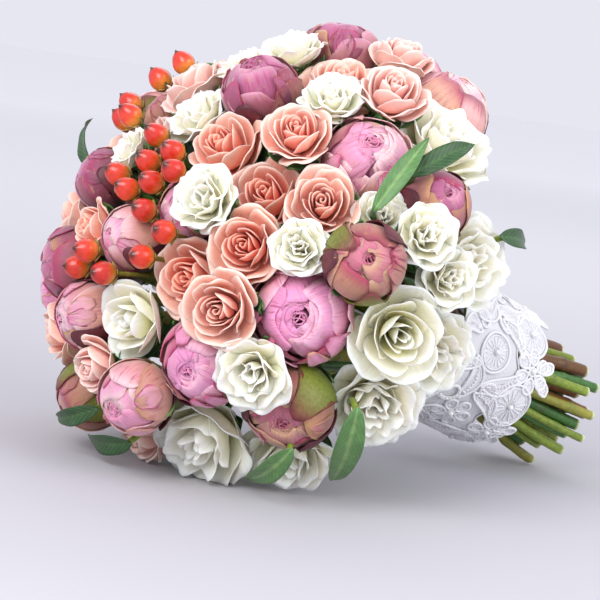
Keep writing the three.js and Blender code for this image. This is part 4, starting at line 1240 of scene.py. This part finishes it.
points, faces = closed_round(ground_grid, 0.35)
if faces_inwards(points[faces[0][0]], points[faces[0][1]], points[faces[0][2]]):
    faces = faces[:, ::-1]
ground = Making()
ground.add(points, faces.tolist(), np.zeros((len(points), 2)), np.ones((len(points), 3)))
lace = ground.build("lace_ground", [FINISHES["tulle"]])
settle(lace, "lace", "lace_wrap")
patches = settle(stitched.build("lace_motifs", [FINISHES["satin"]]), "lace")
outlines = settle(follow("lace_cords", cords, TUBE_TREE, 0.72, 0.9, FINISHES["cord"], 0.2, 7), "lace")
fine = settle(follow("lace_fine_cords", fine_cords, TUBE_TREE, 0.38, 1.0, FINISHES["cord"], 0.2, 5), "lace")
beads = settle(follow("lace_beads", bead_lines, BEAD_TREE, 0.75, 1.9, FINISHES["pearl"]), "lace")
knobs = settle(follow("lace_pearls", pearls, BEAD_TREE, 1.7, 50, FINISHES["pearl"]), "lace")
# its flat size: once round a little below its middle, and once down from its upper edge to its hem
row, column = 17, 6
across = float(np.linalg.norm(np.diff(ground_grid[row], axis=0), axis=1).sum()) * MM
length = float(np.linalg.norm(np.diff(ground_grid[:, column], axis=0), axis=1).sum()) * MM

# ---- floor, light and camera

FLOOR_RADIUS, FLOOR_DROP, FLOOR_SIDES = 6, 0.0004, 96  # metres, metres under the bouquet, and corners

floor_mesh = bpy.data.meshes.new("floor")
round_floor = [(FLOOR_RADIUS * math.cos(a), FLOOR_RADIUS * math.sin(a), -FLOOR_DROP)
               for a in np.linspace(0, 2 * np.pi, FLOOR_SIDES, endpoint=False)]
floor_mesh.from_pydata(round_floor, [], [list(range(FLOOR_SIDES))])
floor = into_scene("floor", floor_mesh)
# matt paper: an even light grey near the bouquet
paper, tree = new_finish("matt paper sweep")
place = add(tree, "ShaderNodeTexCoord")
cloudy = add(tree, "ShaderNodeTexNoise", vector=place.outputs["Object"], scale=1.2, detail=1.0)
near = add(tree, "ShaderNodeMix", {"data_type": "RGBA"}, i0=cloudy.outputs[0], i6=(*linear("#b6b5bb"), 1),
           i7=(*linear("#bab9bf"), 1))
# painted light: the sweep's colour pales away from the bouquet, so that it runs into the light of the studio
# without an edge
away = add(tree, "ShaderNodeVectorMath", {"operation": "LENGTH"}, i0=place.outputs["Object"])
far = add(tree, "ShaderNodeMapRange", value=away.outputs[1], i1=0.3, i2=3.0, i3=0.0, i4=1.0)
pale = add(tree, "ShaderNodeMix", {"data_type": "RGBA"}, i0=far.outputs[0], i6=near.outputs[2],
           i7=(*linear("#fbfbfd"), 1))
matt = add(tree, "ShaderNodeBsdfPrincipled", base_color=pale.outputs[2], roughness=0.9)
add(tree, "ShaderNodeOutputMaterial", surface=matt.outputs[0])
floor_mesh.materials.append(paper)

AZIMUTH, ELEVATION, ROLL = math.radians(-37.9), math.radians(6.94), math.radians(8.3)
DISTANCE = 1200.0
AIM_RIGHT, AIM_DOWN = 15, 21  # the camera looks this far beside and below the head's middle
LENS, SENSOR = 142, 36

flat = math.cos(ELEVATION)
back = np.array([math.sin(AZIMUTH) * flat, -math.cos(AZIMUTH) * flat, math.sin(ELEVATION)])
level = np.array([math.cos(AZIMUTH), math.sin(AZIMUTH), 0])
right = level * math.cos(ROLL) + np.cross(back, level) * math.sin(ROLL)
up = np.cross(back, right)
aim = HEAD + right * AIM_RIGHT - up * AIM_DOWN
camera_data = bpy.data.cameras.new("camera")
camera_data.lens = LENS
camera_data.sensor_width = SENSOR
camera_data.clip_end = 50
camera = into_scene("camera", camera_data)
turn = Matrix([list(right), list(up), list(back)]).transposed()
camera.matrix_world = Matrix.Translation(Vector((aim + back * DISTANCE) * MM)) @ turn.to_4x4()
bpy.context.scene.camera = camera


def soft_box(name, away, size, power):
    """A square soft light that faces the bouquet from `away`: metres to the right, up and to the camera."""
    data = bpy.data.lights.new(name, "AREA")
    data.size = size
    data.energy = power
    lamp = into_scene(name, data)
    middle = HEAD * MM
    where = middle + right * away[0] + np.array([0, 0, away[1]]) + back * away[2]
    facing = Vector(where - middle).to_track_quat("Z", "Y").to_matrix().to_4x4()
    lamp.matrix_world = Matrix.Translation(Vector(where)) @ facing


soft_box("key", (-0.7, 0.9, 1.2), 1.1, 23)
soft_box("fill", (1.3, 0.5, 0.9), 1.2, 15)
soft_box("back", (0.2, 1.4, -1.2), 1.4, 7)
world = bpy.data.worlds.new("studio")
world.use_nodes = True
sky = world.node_tree.nodes["Background"]
sky.inputs[0].default_value = (*linear("#e7e7f1"), 1)
sky.inputs[1].default_value = 1.0
bpy.context.scene.world = world
bpy.context.scene.view_settings.view_transform = "Standard"
